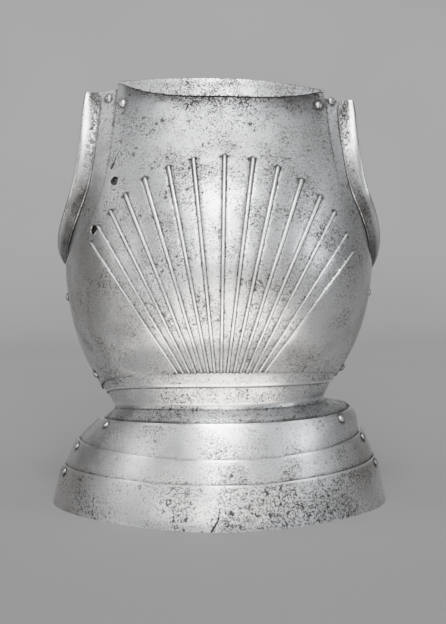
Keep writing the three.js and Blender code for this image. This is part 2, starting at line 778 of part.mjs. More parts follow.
const rivet_seats = {
  main: { offset: 0, grip: breast_wall },
  main_gusset: { offset: 0, grip: breast_wall + gusset_gap + gusset_sink / 2 + gusset_wall },
  main_waist: { offset: 0, grip: breast_wall + plate_gap + waist_wall },
  gusset: { offset: -(breast_wall + gusset_gap), grip: gusset_wall },
};
for (const rivet of torso_rivets) {
  const { offset, grip } = rivet_seats[rivet.sheets];
  cuirass.add(rivet_mesh(`${rivet.name}_right`, torso_form, rivet.left, rivet.left_up, offset, grip));
  cuirass.add(rivet_mesh(`${rivet.name}_left`, torso_form, rivet.right, rivet.right_up, offset, grip));
}
for (let number = 0; number < lames.length; number += 1) {
  const inner_wall = number === 0 ? waist_wall : lame_wall;
  for (const { side, angle, up } of pivots(number)) {
    const grip = lame_step + inner_wall + pivot_play;
    cuirass.add(rivet_mesh(`fauld_${number + 1}_rivet_${side}`, lame_form(number), angle, up, 0, grip));
  }
}

// The middle of the footprint lies over the origin
const box = new THREE.Box3().setFromObject(cuirass);
cuirass.position.x = -(box.min.x + box.max.x) / 2;
cuirass.position.y = -(box.min.y + box.max.y) / 2;

export default cuirass;
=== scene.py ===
import bpy
import math
import numpy as np
from mathutils import Matrix, Vector
from mathutils.geometry import delaunay_2d_cdt


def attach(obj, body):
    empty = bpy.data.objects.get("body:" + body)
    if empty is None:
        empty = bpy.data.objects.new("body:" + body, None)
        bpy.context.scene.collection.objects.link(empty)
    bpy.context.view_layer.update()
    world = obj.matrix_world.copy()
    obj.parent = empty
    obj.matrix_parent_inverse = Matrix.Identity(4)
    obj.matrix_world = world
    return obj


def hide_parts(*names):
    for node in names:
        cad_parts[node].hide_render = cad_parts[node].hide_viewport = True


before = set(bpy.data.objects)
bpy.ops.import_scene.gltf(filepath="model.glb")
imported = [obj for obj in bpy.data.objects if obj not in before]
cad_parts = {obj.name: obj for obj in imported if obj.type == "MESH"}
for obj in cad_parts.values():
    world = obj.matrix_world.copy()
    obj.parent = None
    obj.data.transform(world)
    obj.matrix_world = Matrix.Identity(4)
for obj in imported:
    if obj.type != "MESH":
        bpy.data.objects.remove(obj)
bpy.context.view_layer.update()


# From the forms' own axes to the part's frame, in millimetres
SHIFT = np.array([-0.72, 68.11, 0.0])

# The camera's place and direction
EYE = (-0.05342, -1.34089, 0.3346)
LOOK = (0.0400, 0.9954, -0.0872)

camera_data = bpy.data.cameras.new("camera")
camera_data.lens = 73.96
camera_data.sensor_width = 36.0
camera_data.clip_start = 0.01
camera = bpy.data.objects.new("camera", camera_data)
camera.location = EYE
camera.rotation_euler = Vector(LOOK).to_track_quat("-Z", "Y").to_euler()
bpy.context.scene.collection.objects.link(camera)
bpy.context.scene.camera = camera

# Sizes in millimetres. An up is a share of its form's height, and an angle is in degrees from the
# front. Left is the viewer's left, the wearer's right.
WAIST_HEIGHT, TORSO_HEIGHT = 119.0, 341.0
CHEST_HALF, CHEST_DEPTH = 333 / 2, 154.0
WAIST_HALF, WAIST_DEPTH = 237 / 2, 95.0
NECK_DEPTH = 60.0
RIM_HALF, RIM_DEPTH = 367 / 2, 141.0
BREAST_WALL, GUSSET_WALL, WAIST_WALL, LAME_WALL = 2.0, 1.6, 1.6, 1.5
PLATE_GAP, GUSSET_GAP, GUSSET_SINK = 0.5, 1.1, 1.4
GUSSET_LAP, WAIST_LAP, LAME_LAP = 10.5, 23.0, 13.0
NECK_TURN_WIDTH, NECK_TURN_OUT, NECK_FLARE = 18.0, 8.0, 34.0
ARM_TURN_WIDTH, ARM_TURN_OUT, ARM_FLARE = 14.0, 9.5, 16.0
NECK_HEM_LIFT, ARM_HEM_LIFT, TURN_WALL = 3.0, 2.0, 1.3
FLUTE_COUNT, FLUTE_HEIGHT = 15, 2.0
FLUTE_FOOT_WIDTH, FLUTE_TOP_WIDTH = 3.5, 5.2
BAND_STEP = 1.6
MAIN_FOOT, MAIN_TOP, BAND_FOOT, SIDE_WRAP = 0.113, 0.991, 0.063, 97.0
FOOT_SPREAD, FOOT_SHIFT = 2.65, -0.9
FAN_VIEWPOINT = np.array([-53.0, -1409.0, 335.0])
# angle, up
LANCE_HOLES = [(-39.7, 0.697), (-49.2, 0.561)]
LANCE_HOLE = 10.5
WAIST_SINK = BREAST_WALL + PLATE_GAP + BAND_STEP
CREASE_HALF, CREASE_DEPTH = WAIST_HALF - WAIST_SINK, WAIST_DEPTH - WAIST_SINK
LAME_STEP = LAME_WALL + PLATE_GAP
# Millimetres for one degree and one up, in which the main plate is laid out flat
STRETCH = np.array([2.45, TORSO_HEIGHT])
# How many points the flare and the fold of a turned edge's section have
FLARE_POINTS, FOLD_POINTS = 16, 30

# up, rise left and right, wide left and right, deep from the waist or None, deep from the neck
# or None, square
TORSO = [
    (0.000, -0.038, -0.012, 0.00, 0.00, 0.00, None, 0.03),
    (0.063, -0.059, -0.023, 0.17, 0.17, 0.08, None, 0.03),
    (0.113, -0.084, -0.051, 0.25, 0.25, 0.19, None, 0.04),
    (0.223, -0.091, -0.062, 0.63, 0.63, 0.68, None, 0.05),
    (0.320, -0.091, -0.062, 0.86, 0.86, 0.92, None, 0.06),
    (0.431, -0.079, -0.053, 1.01, 0.99, 1.00, None, 0.06),
    (0.516, -0.067, -0.044, 1.03, 1.00, None, 0.96, 0.05),
    (0.630, -0.053, -0.032, 1.01, 0.99, None, 0.81, 0.04),
    (0.749, -0.035, -0.021, 0.97, 0.95, None, 0.55, 0.03),
    (0.856, -0.018, -0.012, 0.93, 0.91, None, 0.27, 0.02),
    (0.950, -0.006, -0.003, 0.89, 0.87, None, 0.07, 0.01),
    (1.000, 0.000, 0.000, 0.87, 0.85, None, 0.00, 0.00),
]
# up, rise left and right, wide left and right, deep, square
FAULD = [
    (0.000, 0.000, 0.000, 0.98, 1.00, 1.00, -0.12),
    (0.387, -0.025, 0.055, 0.78, 0.79, 0.84, -0.10),
    (0.588, 0.017, 0.110, 0.56, 0.58, 0.66, -0.06),
    (0.870, -0.088, 0.030, 0.21, 0.43, 0.28, 0.00),
    (1.000, -0.109, -0.034, 0.00, 0.00, 0.00, 0.03),
]
# along the main plate's side, angle, up left, up right
ARM_EDGE = [
    (0.32, 97.0, 0.481, 0.441), (0.38, 88.0, 0.486, 0.449), (0.45, 73.5, 0.502, 0.480),
    (0.52, 60.0, 0.544, 0.536), (0.60, 51.5, 0.592, 0.592), (0.70, 45.5, 0.676, 0.670),
    (0.80, 43.0, 0.768, 0.758), (0.90, 42.0, 0.870, 0.857), (1.00, 42.0, 0.994, 0.968),
]
# along, crest angle left and right, crest rise, turn
GUSSET = [
    (0.985, 58.8, 57.2, -0.016, 0.80), (0.948, 58.6, 56.8, -0.005, 1.00),
    (0.900, 58.8, 56.4, -0.002, 1.00), (0.845, 58.9, 56.2, 0.002, 1.00),
    (0.785, 59.6, 56.6, 0.008, 1.00), (0.715, 61.0, 57.8, 0.016, 1.00),
    (0.655, 64.0, 60.6, 0.025, 1.00), (0.593, 68.5, 65.2, 0.035, 1.00),
    (0.535, 73.6, 70.6, 0.037, 1.00), (0.487, 79.0, 76.6, 0.038, 0.95),
    (0.450, 84.6, 82.8, 0.037, 0.85), (0.405, 89.0, 88.0, 0.030, 0.65),
    (0.365, 92.5, 92.0, 0.020, 0.35),
]
# The flutes' upper ends, from the middle one outwards: angle, up left, up right, share of the top width
FLUTE_TOPS = [
    (0.4, 0.760, 0.760, 1.00), (10.0, 0.752, 0.752, 1.00),
    (18.5, 0.729, 0.727, 1.00), (27.0, 0.697, 0.691, 1.00),
    (34.3, 0.653, 0.645, 0.95), (40.6, 0.609, 0.602, 0.80),
    (46.6, 0.568, 0.539, 0.65), (50.4, 0.524, 0.490, 0.55),
]
# top, left end, right end, pivot left, pivot right, end play
LAMES = [
    (0.870, -90, 80, -67, 60, 2.0),
    (0.588, -89, 88, -80, 79, 0.7),
    (0.387, -89, 89, -81, 81, 0.7),
]


def curve(keys, values):
    """A smooth curve through values at keys, read at any place between them."""
    keys, values = np.asarray(keys, float), np.asarray(values, float)
    last = len(keys) - 1
    before = np.maximum(np.arange(last + 1) - 1, 0)
    after = np.minimum(np.arange(last + 1) + 1, last)
    slopes = (values[after] - values[before]) / (keys[after] - keys[before])

    def read(at):
        at = np.asarray(at, float)
        i = np.searchsorted(keys[1:-1], at, side="left")
        span = keys[i + 1] - keys[i]
        t = (at - keys[i]) / span
        start = (2 * t - 3) * t * t + 1
        return (start * values[i] + (1 - start) * values[i + 1]
                + span * (((t - 2) * t + 1) * t * slopes[i] + (t - 1) * t * t * slopes[i + 1]))
    return read


def make_form(rows, foot, height):
    """A form over angle and up, whose rows give its half widths, depth, rise and squareness."""
    up = [r[0] for r in rows]
    col = {k: curve(up, [r[i] for r in rows]) for i, k in enumerate(
        ["up", "rise_left", "rise_right", "half_left", "half_right", "depth", "square"])}

    def form(angle, at):
        angle, at = np.broadcast_arrays(np.asarray(angle, float), np.asarray(at, float))
        left = angle < 0
        turn = np.radians(angle)
        half = np.where(left, col["half_left"](at), col["half_right"](at))
        rise = np.where(left, col["rise_left"](at), col["rise_right"](at))
        x = half * np.sin(turn + col["square"](at) * np.sin(2 * turn))
        y = -col["depth"](at) * np.cos(turn)
        return np.stack([x, y, foot + height * at + rise * (angle / 90) ** 2], -1)
    return form


def torso_depth(deep, deep_neck):
    if deep_neck is None:
        return WAIST_DEPTH + (CHEST_DEPTH - WAIST_DEPTH) * deep
    return NECK_DEPTH + (CHEST_DEPTH - NECK_DEPTH) * deep_neck


torso = make_form([(u, rl * TORSO_HEIGHT, rr * TORSO_HEIGHT,
                    WAIST_HALF + (CHEST_HALF - WAIST_HALF) * wl,
                    WAIST_HALF + (CHEST_HALF - WAIST_HALF) * wr,
                    torso_depth(d, n), s) for u, rl, rr, wl, wr, d, n, s in TORSO],
                  WAIST_HEIGHT, TORSO_HEIGHT)
fauld = make_form([(u, rl * WAIST_HEIGHT, rr * WAIST_HEIGHT,
                    CREASE_HALF + (RIM_HALF - CREASE_HALF) * wl,
                    CREASE_HALF + (RIM_HALF - CREASE_HALF) * wr,
                    CREASE_DEPTH + (RIM_DEPTH - CREASE_DEPTH) * d, s) for u, rl, rr, wl, wr, d, s in FAULD],
                  0.0, WAIST_HEIGHT)


def unit(v):
    return v / np.maximum(np.linalg.norm(v, axis=-1, keepdims=True), 1e-9)


def normal(form, angle, up):
    across = form(angle + 0.2, up) - form(angle - 0.2, up)
    upward = form(angle, up + 0.002) - form(angle, up - 0.002)
    return unit(np.cross(across, upward))


def raised(form, angle, up, offset):
    angle, up, offset = np.broadcast_arrays(*(np.asarray(v, float) for v in (angle, up, offset)))
    return form(angle, up) + normal(form, angle, up) * offset[..., None]


arm = {"angle": curve([r[0] for r in ARM_EDGE], [r[1] for r in ARM_EDGE]),
       "left": curve([r[0] for r in ARM_EDGE], [r[2] for r in ARM_EDGE]),
       "right": curve([r[0] for r in ARM_EDGE], [r[3] for r in ARM_EDGE])}


def main_side(share, left):
    """Angle and up of the main plate's side edge, a share of the way up it."""
    share = np.asarray(share, float)
    corner = np.where(left, ARM_EDGE[0][2], ARM_EDGE[0][3])
    low = share <= ARM_EDGE[0][0]
    up = np.where(left, arm["left"](share), arm["right"](share))
    side = MAIN_FOOT + (corner - MAIN_FOOT) * share / ARM_EDGE[0][0]
    return np.where(low, SIDE_WRAP, arm["angle"](share)), np.where(low, side, up)


def main_place(column, share):
    """Angle and up on the main plate, from column -1 at one side to 1 at the other."""
    column, share = np.broadcast_arrays(np.asarray(column, float), np.asarray(share, float))
    angle, up = main_side(share, column < 0)
    middle = MAIN_FOOT + (MAIN_TOP - MAIN_FOOT) * share
    return column * angle, middle + (up - middle) * np.abs(column) ** 1.4


def seen(p):
    """How far across and up a point lies from the fan's viewpoint, and its distance."""
    away = p[..., 1] - FAN_VIEWPOINT[1]
    return (p[..., 0] - FAN_VIEWPOINT[0]) / away, (p[..., 2] - FAN_VIEWPOINT[2]) / away, away


def flute_path(number, share):
    """A flute's middle line, straight as seen from the fan's viewpoint."""
    step = number - (FLUTE_COUNT - 1) // 2
    angle, up_left, up_right, _ = FLUTE_TOPS[abs(step)]
    top = (angle if step == 0 else math.copysign(angle, step), up_left if step < 0 else up_right)
    fa, fu, _ = seen(torso(step * FOOT_SPREAD + FOOT_SHIFT, MAIN_FOOT))
    ta, tu, _ = seen(torso(*top))
    across, upward = fa + (ta - fa) * share, fu + (tu - fu) * share
    a, u = np.zeros_like(share), np.full_like(share, 0.5)
    for _ in range(14):
        ha, hu, away = seen(torso(a, u))
        na, _, _ = seen(torso(a + 0.5, u))
        a = a + 0.5 * (across - ha) / (na - ha)
        u = u + (upward - hu) * away / TORSO_HEIGHT
    return a, u


def place(points):
    """Points of the forms in the part's frame, in metres."""
    return (points + SHIFT) / 1000.0


def grid_faces(rows, steps, first=0):
    i, j = np.meshgrid(np.arange(rows - 1), np.arange(steps - 1), indexing="ij")
    a = first + i * steps + j
    return np.stack([a, a + steps, a + steps + 1, a + 1], -1).reshape(-1, 4).tolist()


def shell(name, over, under, faces, material, body, node, bulge=0.28, attributes=None, rim_dirt_and_shade=0.0):
    """A closed sheet: over and under points share one set of faces, and a rounded rim joins them."""
    over, under = over.reshape(-1, 3), under.reshape(-1, 3)
    count = len(over)
    directed = {}
    for f in faces:
        for k in range(len(f)):
            directed[(f[k], f[(k + 1) % len(f)])] = True
    border = [(a, b) for a, b in directed if (b, a) not in directed]
    sums = {}
    for a, b in border:
        thick = unit((over[a] - under[a]) + (over[b] - under[b]))
        out = unit(np.cross(over[b] - over[a], thick))
        sums[a] = sums.get(a, 0) + out
        sums[b] = sums.get(b, 0) + out
    ids, mids = {}, []
    for k, (v, out) in enumerate(sums.items()):
        ids[v] = 2 * count + k
        wall = np.linalg.norm(over[v] - under[v])
        mids.append((over[v] + under[v]) / 2 + unit(out) * bulge * wall)
    points = np.vstack([over, under, np.array(mids)])
    all_faces = [list(f) for f in faces] + [[count + v for v in reversed(f)] for f in faces]
    for a, b in border:
        all_faces.append([b, a, ids[a], ids[b]])
        all_faces.append([ids[b], ids[a], count + a, count + b])
    mesh = bpy.data.meshes.new(name)
    mesh.from_pydata(place(points).tolist(), [], all_faces)
    mesh.validate()
    mesh.polygons.foreach_set("use_smooth", [True] * len(mesh.polygons))
    sharp = set()
    for a, b in border:
        sharp.add((min(a, b), max(a, b)))
        sharp.add((min(count + a, count + b), max(count + a, count + b)))
    flags = [tuple(sorted(e.vertices)) in sharp for e in mesh.edges]
    mesh.attributes.new("sharp_edge", "BOOLEAN", "EDGE").data.foreach_set("value", flags)
    mid_count = len(mids)
    for key, values in (attributes or {}).items():
        layer = mesh.attributes.new(key, "FLOAT", "POINT")
        values = np.asarray(values, float)
        both = values if len(values) == 2 * count else np.concatenate([values, values * 0.5])
        # The rim's middle points take a dark value, grime and painted shade along the plate's edge
        rim = rim_dirt_and_shade if key == "dirt_and_shade" else 0.0
        layer.data.foreach_set("value", np.concatenate([both, np.full(mid_count, rim)]))
    mesh.materials.append(material)
    obj = bpy.data.objects.new(name, mesh)
    bpy.context.scene.collection.objects.link(obj)
    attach(obj, body)
    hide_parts(node)
    return obj


def spline(points, n):
    """n rows along a smooth curve through the points."""
    points = np.asarray(points, float)
    keys = np.arange(points.shape[0])
    at = np.linspace(0, len(keys) - 1, n)
    return np.stack([curve(keys, points[:, k])(at) for k in range(points.shape[1])], -1)


def turned(width, out, flare, lift, layer, wall):
    """The section of a turned edge: distance from the crest and offset, for both faces."""
    def swell(e):
        return layer + (out - layer) * np.clip(1 - e / flare, 0, None) ** 2
    e = flare * np.linspace(1, 0.12, FLARE_POINTS)
    under = np.stack([e, swell(e) - wall], -1)
    over = np.stack([e, swell(e)], -1)
    mid, fall = (out + lift) / 2, out - lift
    under_fold = spline([
        (0.12 * flare, swell(0.12 * flare) - wall),
        (0.05 * flare, swell(0.05 * flare) - wall),
        (-0.1 * wall, out - 0.95 * wall),
        (-0.42 * wall, out - 0.42 * wall),
        (-0.1 * wall, out + 0.02 * wall),
        (0.07 * width, out - 0.04 * fall + 0.25 * TURN_WALL),
        (0.22 * width, out - 0.2 * fall + 0.5 * TURN_WALL),
        (0.5 * width, mid + 0.55 * TURN_WALL),
        (0.8 * width, mid - 0.32 * fall + 0.52 * TURN_WALL),
        (width, lift + 0.5 * TURN_WALL)], FOLD_POINTS)
    over_fold = spline([
        (0.12 * flare, swell(0.12 * flare)),
        (0.09 * flare, swell(0.09 * flare)),
        (0.05 * flare + 0.06 * width, out - 1.02 * wall - 0.06 * fall),
        (0.12 * width, out - wall - 0.02 * fall),
        (0.16 * width, out - 0.95 * wall),
        (0.2 * width, out - 0.2 * fall - 0.5 * TURN_WALL),
        (0.3 * width, out - 0.3 * fall - 0.5 * TURN_WALL),
        (0.5 * width, mid - 0.5 * TURN_WALL),
        (0.8 * width, mid - 0.32 * fall - 0.5 * TURN_WALL),
        (width, lift - 0.5 * TURN_WALL)], FOLD_POINTS)
    return np.vstack([under, under_fold[1:]]), np.vstack([over, over_fold[1:]])


def inside(points, polygon):
    """Which of the points lie within a closed outline."""
    x, y = points[:, 0][:, None], points[:, 1][:, None]
    ax, ay = polygon[:, 0], polygon[:, 1]
    bx, by = np.roll(ax, -1), np.roll(ay, -1)
    crosses = (ay > y) != (by > y)
    with np.errstate(divide="ignore", invalid="ignore"):
        where = ax + (y - ay) * (bx - ax) / (by - ay)
    return (np.sum(crosses & (x < where), axis=1) % 2) == 1


PATH_STEPS = 90
paths = []
for number in range(FLUTE_COUNT):
    share = np.linspace(0, 1, PATH_STEPS)
    a, u = flute_path(number, share)
    points = torso(a, u)
    paths.append({"angle": a, "up": u, "points": points, "along": unit(np.gradient(points, axis=0)),
                  "normal": normal(torso, a, u), "share": share,
                  "top": FLUTE_TOP_WIDTH * FLUTE_TOPS[abs(number - FLUTE_COUNT // 2)][3],
                  "step": np.linalg.norm(points[-1] - points[0]) / (PATH_STEPS - 1)})


def flute_half(path, share):
    """A flute's half width, which opens a little at its upper end."""
    trumpet = 1 + 0.08 * np.clip((share - 0.95) / 0.05, 0, 1) ** 2
    return 0.5 * (FLUTE_FOOT_WIDTH + (path["top"] - FLUTE_FOOT_WIDTH) * np.clip(share, 0, 1)) * trumpet


def relief(points):
    """Height of the flutes over the form, a mask of the dark lines beside them and of the dark cap past their
    upper ends, which is grime and painted shade, and how far up on a crest, where a painted highlight goes."""
    height, groove, crest = np.zeros(len(points)), np.zeros(len(points)), np.zeros(len(points))
    for path in paths:
        q = path["points"]
        low, high = q.min(0) - 12, q.max(0) + 12
        near = np.where(np.all((points > low) & (points < high), axis=1))[0]
        if not len(near):
            continue
        p = points[near]
        distance = np.sum(p * p, 1)[:, None] + np.sum(q * q, 1)[None] - 2 * p @ q.T
        j = np.argmin(distance, 1)
        away = p - q[j]
        along = np.sum(away * path["along"][j], 1)
        square = np.maximum(np.sum(away * away, 1) - along ** 2 - np.sum(away * path["normal"][j], 1) ** 2, 0)
        past = np.where((j == PATH_STEPS - 1) & (along > 0), along, 0)
        share = path["share"][j] + np.where(past > 0, 0, along) / (path["step"] * (PATH_STEPS - 1))
        # The distance from the flute's middle line in half widths, and past its end in steeper ones
        reach = np.sqrt(square + (1.3 * past) ** 2) / flute_half(path, share)
        t = np.clip((reach - 0.42) / 0.56, 0, 1)
        ridge = 1 - t * t * (3 - 2 * t)
        dip = np.exp(-((reach - 1.16) / 0.2) ** 2)
        size = 0.80 + 0.20 * np.clip(share, 0, 1)
        bump = FLUTE_HEIGHT * size * (ridge * (1 - 0.32 * reach ** 2) - 0.12 * dip)
        height[near] = np.where(np.abs(bump) > np.abs(height[near]), bump, height[near])
        # Grime and painted shade: dark lines along the flutes' sides, and a dark cap past their upper ends
        cap = np.where(past > 0, 1.3 * np.exp(-((reach - 1.1) / 0.55) ** 2), 0)
        mark = np.exp(-((reach - 1.0) / 0.18) ** 2) + cap
        groove[near] = np.maximum(groove[near], np.clip(mark, 0, 1))
        # The crest mask, where a painted highlight goes along each flute's top
        crest[near] = np.maximum(crest[near], 1 - np.clip((reach - 0.30) / 0.3, 0, 1))
    return height, groove, crest


def new_group(name, inputs, outputs):
    group = bpy.data.node_groups.new(name, "ShaderNodeTree")
    for key, kind, value in inputs:
        socket = group.interface.new_socket(name=key, in_out="INPUT", socket_type=kind)
        if value is not None:
            socket.default_value = value
    for key, kind in outputs:
        group.interface.new_socket(name=key, in_out="OUTPUT", socket_type=kind)
    return group, group.nodes.new("NodeGroupInput"), group.nodes.new("NodeGroupOutput")


class Tree:
    """Short ways to add nodes to a node tree and to join them."""

    def __init__(self, tree):
        self.nodes, self.links = tree.nodes, tree.links

    def set(self, socket, value):
        if hasattr(value, "is_linked"):
            self.links.new(value, socket)
        else:
            socket.default_value = value

    def add(self, kind, values=None, **settings):
        node = self.nodes.new(kind)
        for key, value in settings.items():
            setattr(node, key, value)
        for key, value in (values or {}).items():
            self.set(node.inputs[key], value)
        return node

    def math(self, operation, a, b=0.0, clamp=False):
        return self.add("ShaderNodeMath", {0: a, 1: b}, operation=operation, use_clamp=clamp).outputs[0]

    def noise(self, vector, scale, detail=4.0, rough=0.55, distortion=0.0):
        return self.add("ShaderNodeTexNoise", {"Vector": vector, "Scale": scale, "Detail": detail,
                                               "Roughness": rough, "Distortion": distortion}).outputs["Fac"]

    def ramp(self, value, low, high, to_low=0.0, to_high=1.0):
        return self.add("ShaderNodeMapRange", {"Value": value, "From Min": low, "From Max": high,
                                               "To Min": to_low, "To Max": to_high},
                        interpolation_type="SMOOTHSTEP").outputs["Result"]

    def times(self, a, b):
        return self.math("MULTIPLY", a, b)

    def attribute(self, name):
        return self.add("ShaderNodeAttribute", attribute_name=name).outputs["Fac"]

    def group(self, tree, **values):
        return self.add("ShaderNodeGroup", values, node_tree=tree).outputs

    def mix(self, factor, a, b):
        node = self.add("ShaderNodeMix", data_type="RGBA")
        self.set(node.inputs[0], factor)
        for socket, color in ((6, a), (7, b)):
            self.set(node.inputs[socket], color if hasattr(color, "is_linked") else (*color, 1.0))
        return node.outputs[2]


def pitting_group():
    """Rust pits: fine dark specks that gather in patches, with some larger eaten spots."""
    group, start, end = new_group(
        "pitting",
        [("Vector", "NodeSocketVector", None), ("Amount", "NodeSocketFloat", 0.5),
         ("Fineness", "NodeSocketFloat", 1.0)],
        [("Mask", "NodeSocketFloat"), ("Height", "NodeSocketFloat")])
    t = Tree(group)
    where, fineness = start.outputs["Vector"], start.outputs["Fineness"]
    patches = t.noise(where, 26.0, 5.0, 0.62)
    wide = t.noise(where, 8.0, 3.0, 0.5)
    gather = t.math("ADD", t.times(patches, 0.66), t.times(wide, 0.34))
    more = t.times(t.math("SUBTRACT", start.outputs["Amount"], 0.5), 0.5)
    gather = t.math("ADD", gather, more)
    specks = t.noise(where, t.times(fineness, 620.0), 3.0, 0.8)
    spots = t.noise(where, t.times(fineness, 300.0), 4.0, 0.66, 0.7)
    speck_cut = t.ramp(gather, 0.34, 0.62, 0.615, 0.495)
    speck_mask = t.ramp(t.math("SUBTRACT", specks, speck_cut), -0.01, 0.035)
    spot_cut = t.ramp(gather, 0.40, 0.62, 0.67, 0.55)
    spot_mask = t.ramp(t.math("SUBTRACT", spots, spot_cut), -0.008, 0.03)
    both = t.math("MAXIMUM", t.times(speck_mask, 0.85), spot_mask)
    t.set(end.inputs["Mask"], both)
    t.set(end.inputs["Height"], t.times(both, -1.0))
    return group


def scratches_group():
    """Long thin polishing scratches, turned by Turn about the depth axis."""
    group, start, end = new_group(
        "scratches", [("Vector", "NodeSocketVector", None), ("Turn", "NodeSocketFloat", 0.0)],
        [("Mask", "NodeSocketFloat")])
    t = Tree(group)
    where = start.outputs["Vector"]
    turned_place = t.add("ShaderNodeVectorRotate",
                         {"Vector": where, "Angle": start.outputs["Turn"], "Axis": (0, 1, 0)},
                         rotation_type="AXIS_ANGLE").outputs[0]
    stretched = t.add("ShaderNodeVectorMath", {0: turned_place, 1: (14.0, 60.0, 900.0)},
                      operation="MULTIPLY").outputs[0]
    lines = t.noise(stretched, 1.0, 2.0, 0.5)
    broken = t.noise(where, 34.0, 2.0, 0.5)
    t.set(end.inputs["Mask"], t.times(t.ramp(lines, 0.66, 0.72), t.ramp(broken, 0.5, 0.62)))
    return group


def mark_group():
    """One straight nick in the steel, from Start to End: a mask that falls off over Width."""
    group, start, end = new_group(
        "mark",
        [("Vector", "NodeSocketVector", None), ("Start", "NodeSocketVector", None),
         ("End", "NodeSocketVector", None), ("Width", "NodeSocketFloat", 0.001)],
        [("Mask", "NodeSocketFloat")])
    t = Tree(group)
    here, first, last = start.outputs["Vector"], start.outputs["Start"], start.outputs["End"]

    def vector(operation, a, b, out=0):
        return t.add("ShaderNodeVectorMath", {0: a, 1: b}, operation=operation).outputs[out]
    away, line = vector("SUBTRACT", here, first), vector("SUBTRACT", last, first)
    dot = vector("DOT_PRODUCT", away, line, "Value")
    square = vector("DOT_PRODUCT", line, line, "Value")
    share = t.math("DIVIDE", dot, t.math("MAXIMUM", square, 1e-9), clamp=True)
    foot = t.add("ShaderNodeVectorMath", {0: line, "Scale": share}, operation="SCALE").outputs[0]
    gap = vector("DISTANCE", away, foot, "Value")
    ragged = t.times(t.math("SUBTRACT", t.noise(here, 900.0, 2.0), 0.5), 0.0016)
    reach = t.math("DIVIDE", t.math("ADD", gap, ragged), start.outputs["Width"])
    t.set(end.inputs["Mask"], t.ramp(reach, 0.35, 0.7, 1.0, 0.0))
    return group


PITTING, SCRATCHES, MARK = pitting_group(), scratches_group(), mark_group()
# from angle, from up, to angle, to up, width
TORSO_MARKS = [
    (-0.9, 0.947, -0.7, 0.947, 4.2), (2.6, 0.947, 2.8, 0.947, 4.2),
    (-41.1, 0.744, -39.8, 0.768, 1.5), (-39.5, 0.772, -38.6, 0.787, 1.0),
    (-41.6, 0.735, -41.0, 0.746, 3.0), (-36.0, 0.952, -35.8, 0.953, 2.0),
    (4.0, 0.955, 5.6, 0.957, 3.0),
]
FAULD_MARKS = [(-5.5, 0.005, -2.6, 0.106, 2.2), (-2.6, 0.106, -1.9, 0.230, 2.0)]

# Colours of what lies on the clean metal, painted highlight and painted shade among them
COOL_CAST, CLOUD_SHADE = (0.97, 0.99, 1.02), 0.55
WARM_SIDE = (0.40, 0.352, 0.315)
BROWN_FILM = (0.34, 0.29, 0.24)
GREY_GRAIN = (0.30, 0.30, 0.30)
# Tarnish and painted shade below the neck's hem
TARNISH_AND_SHADE_GREY = (0.055, 0.057, 0.06)
# A painted highlight on flute crests, the turned edges and the top edges of the plates
PAINTED_HIGHLIGHT = (0.97, 0.97, 0.965)
# Grime and painted shade beside the flutes
GROOVE_GRIME_AND_SHADE = (0.05, 0.048, 0.046)
# Grime and painted shade: dark lines under edges and hems, in creases, round rivets and over covered parts
GRIME_AND_SHADE_BROWN = (0.06, 0.057, 0.054)
SCRATCH_GREY = (0.16, 0.155, 0.15)
PIT_BLACK = (0.035, 0.033, 0.032)
NICK_BLACK = (0.015, 0.014, 0.013)


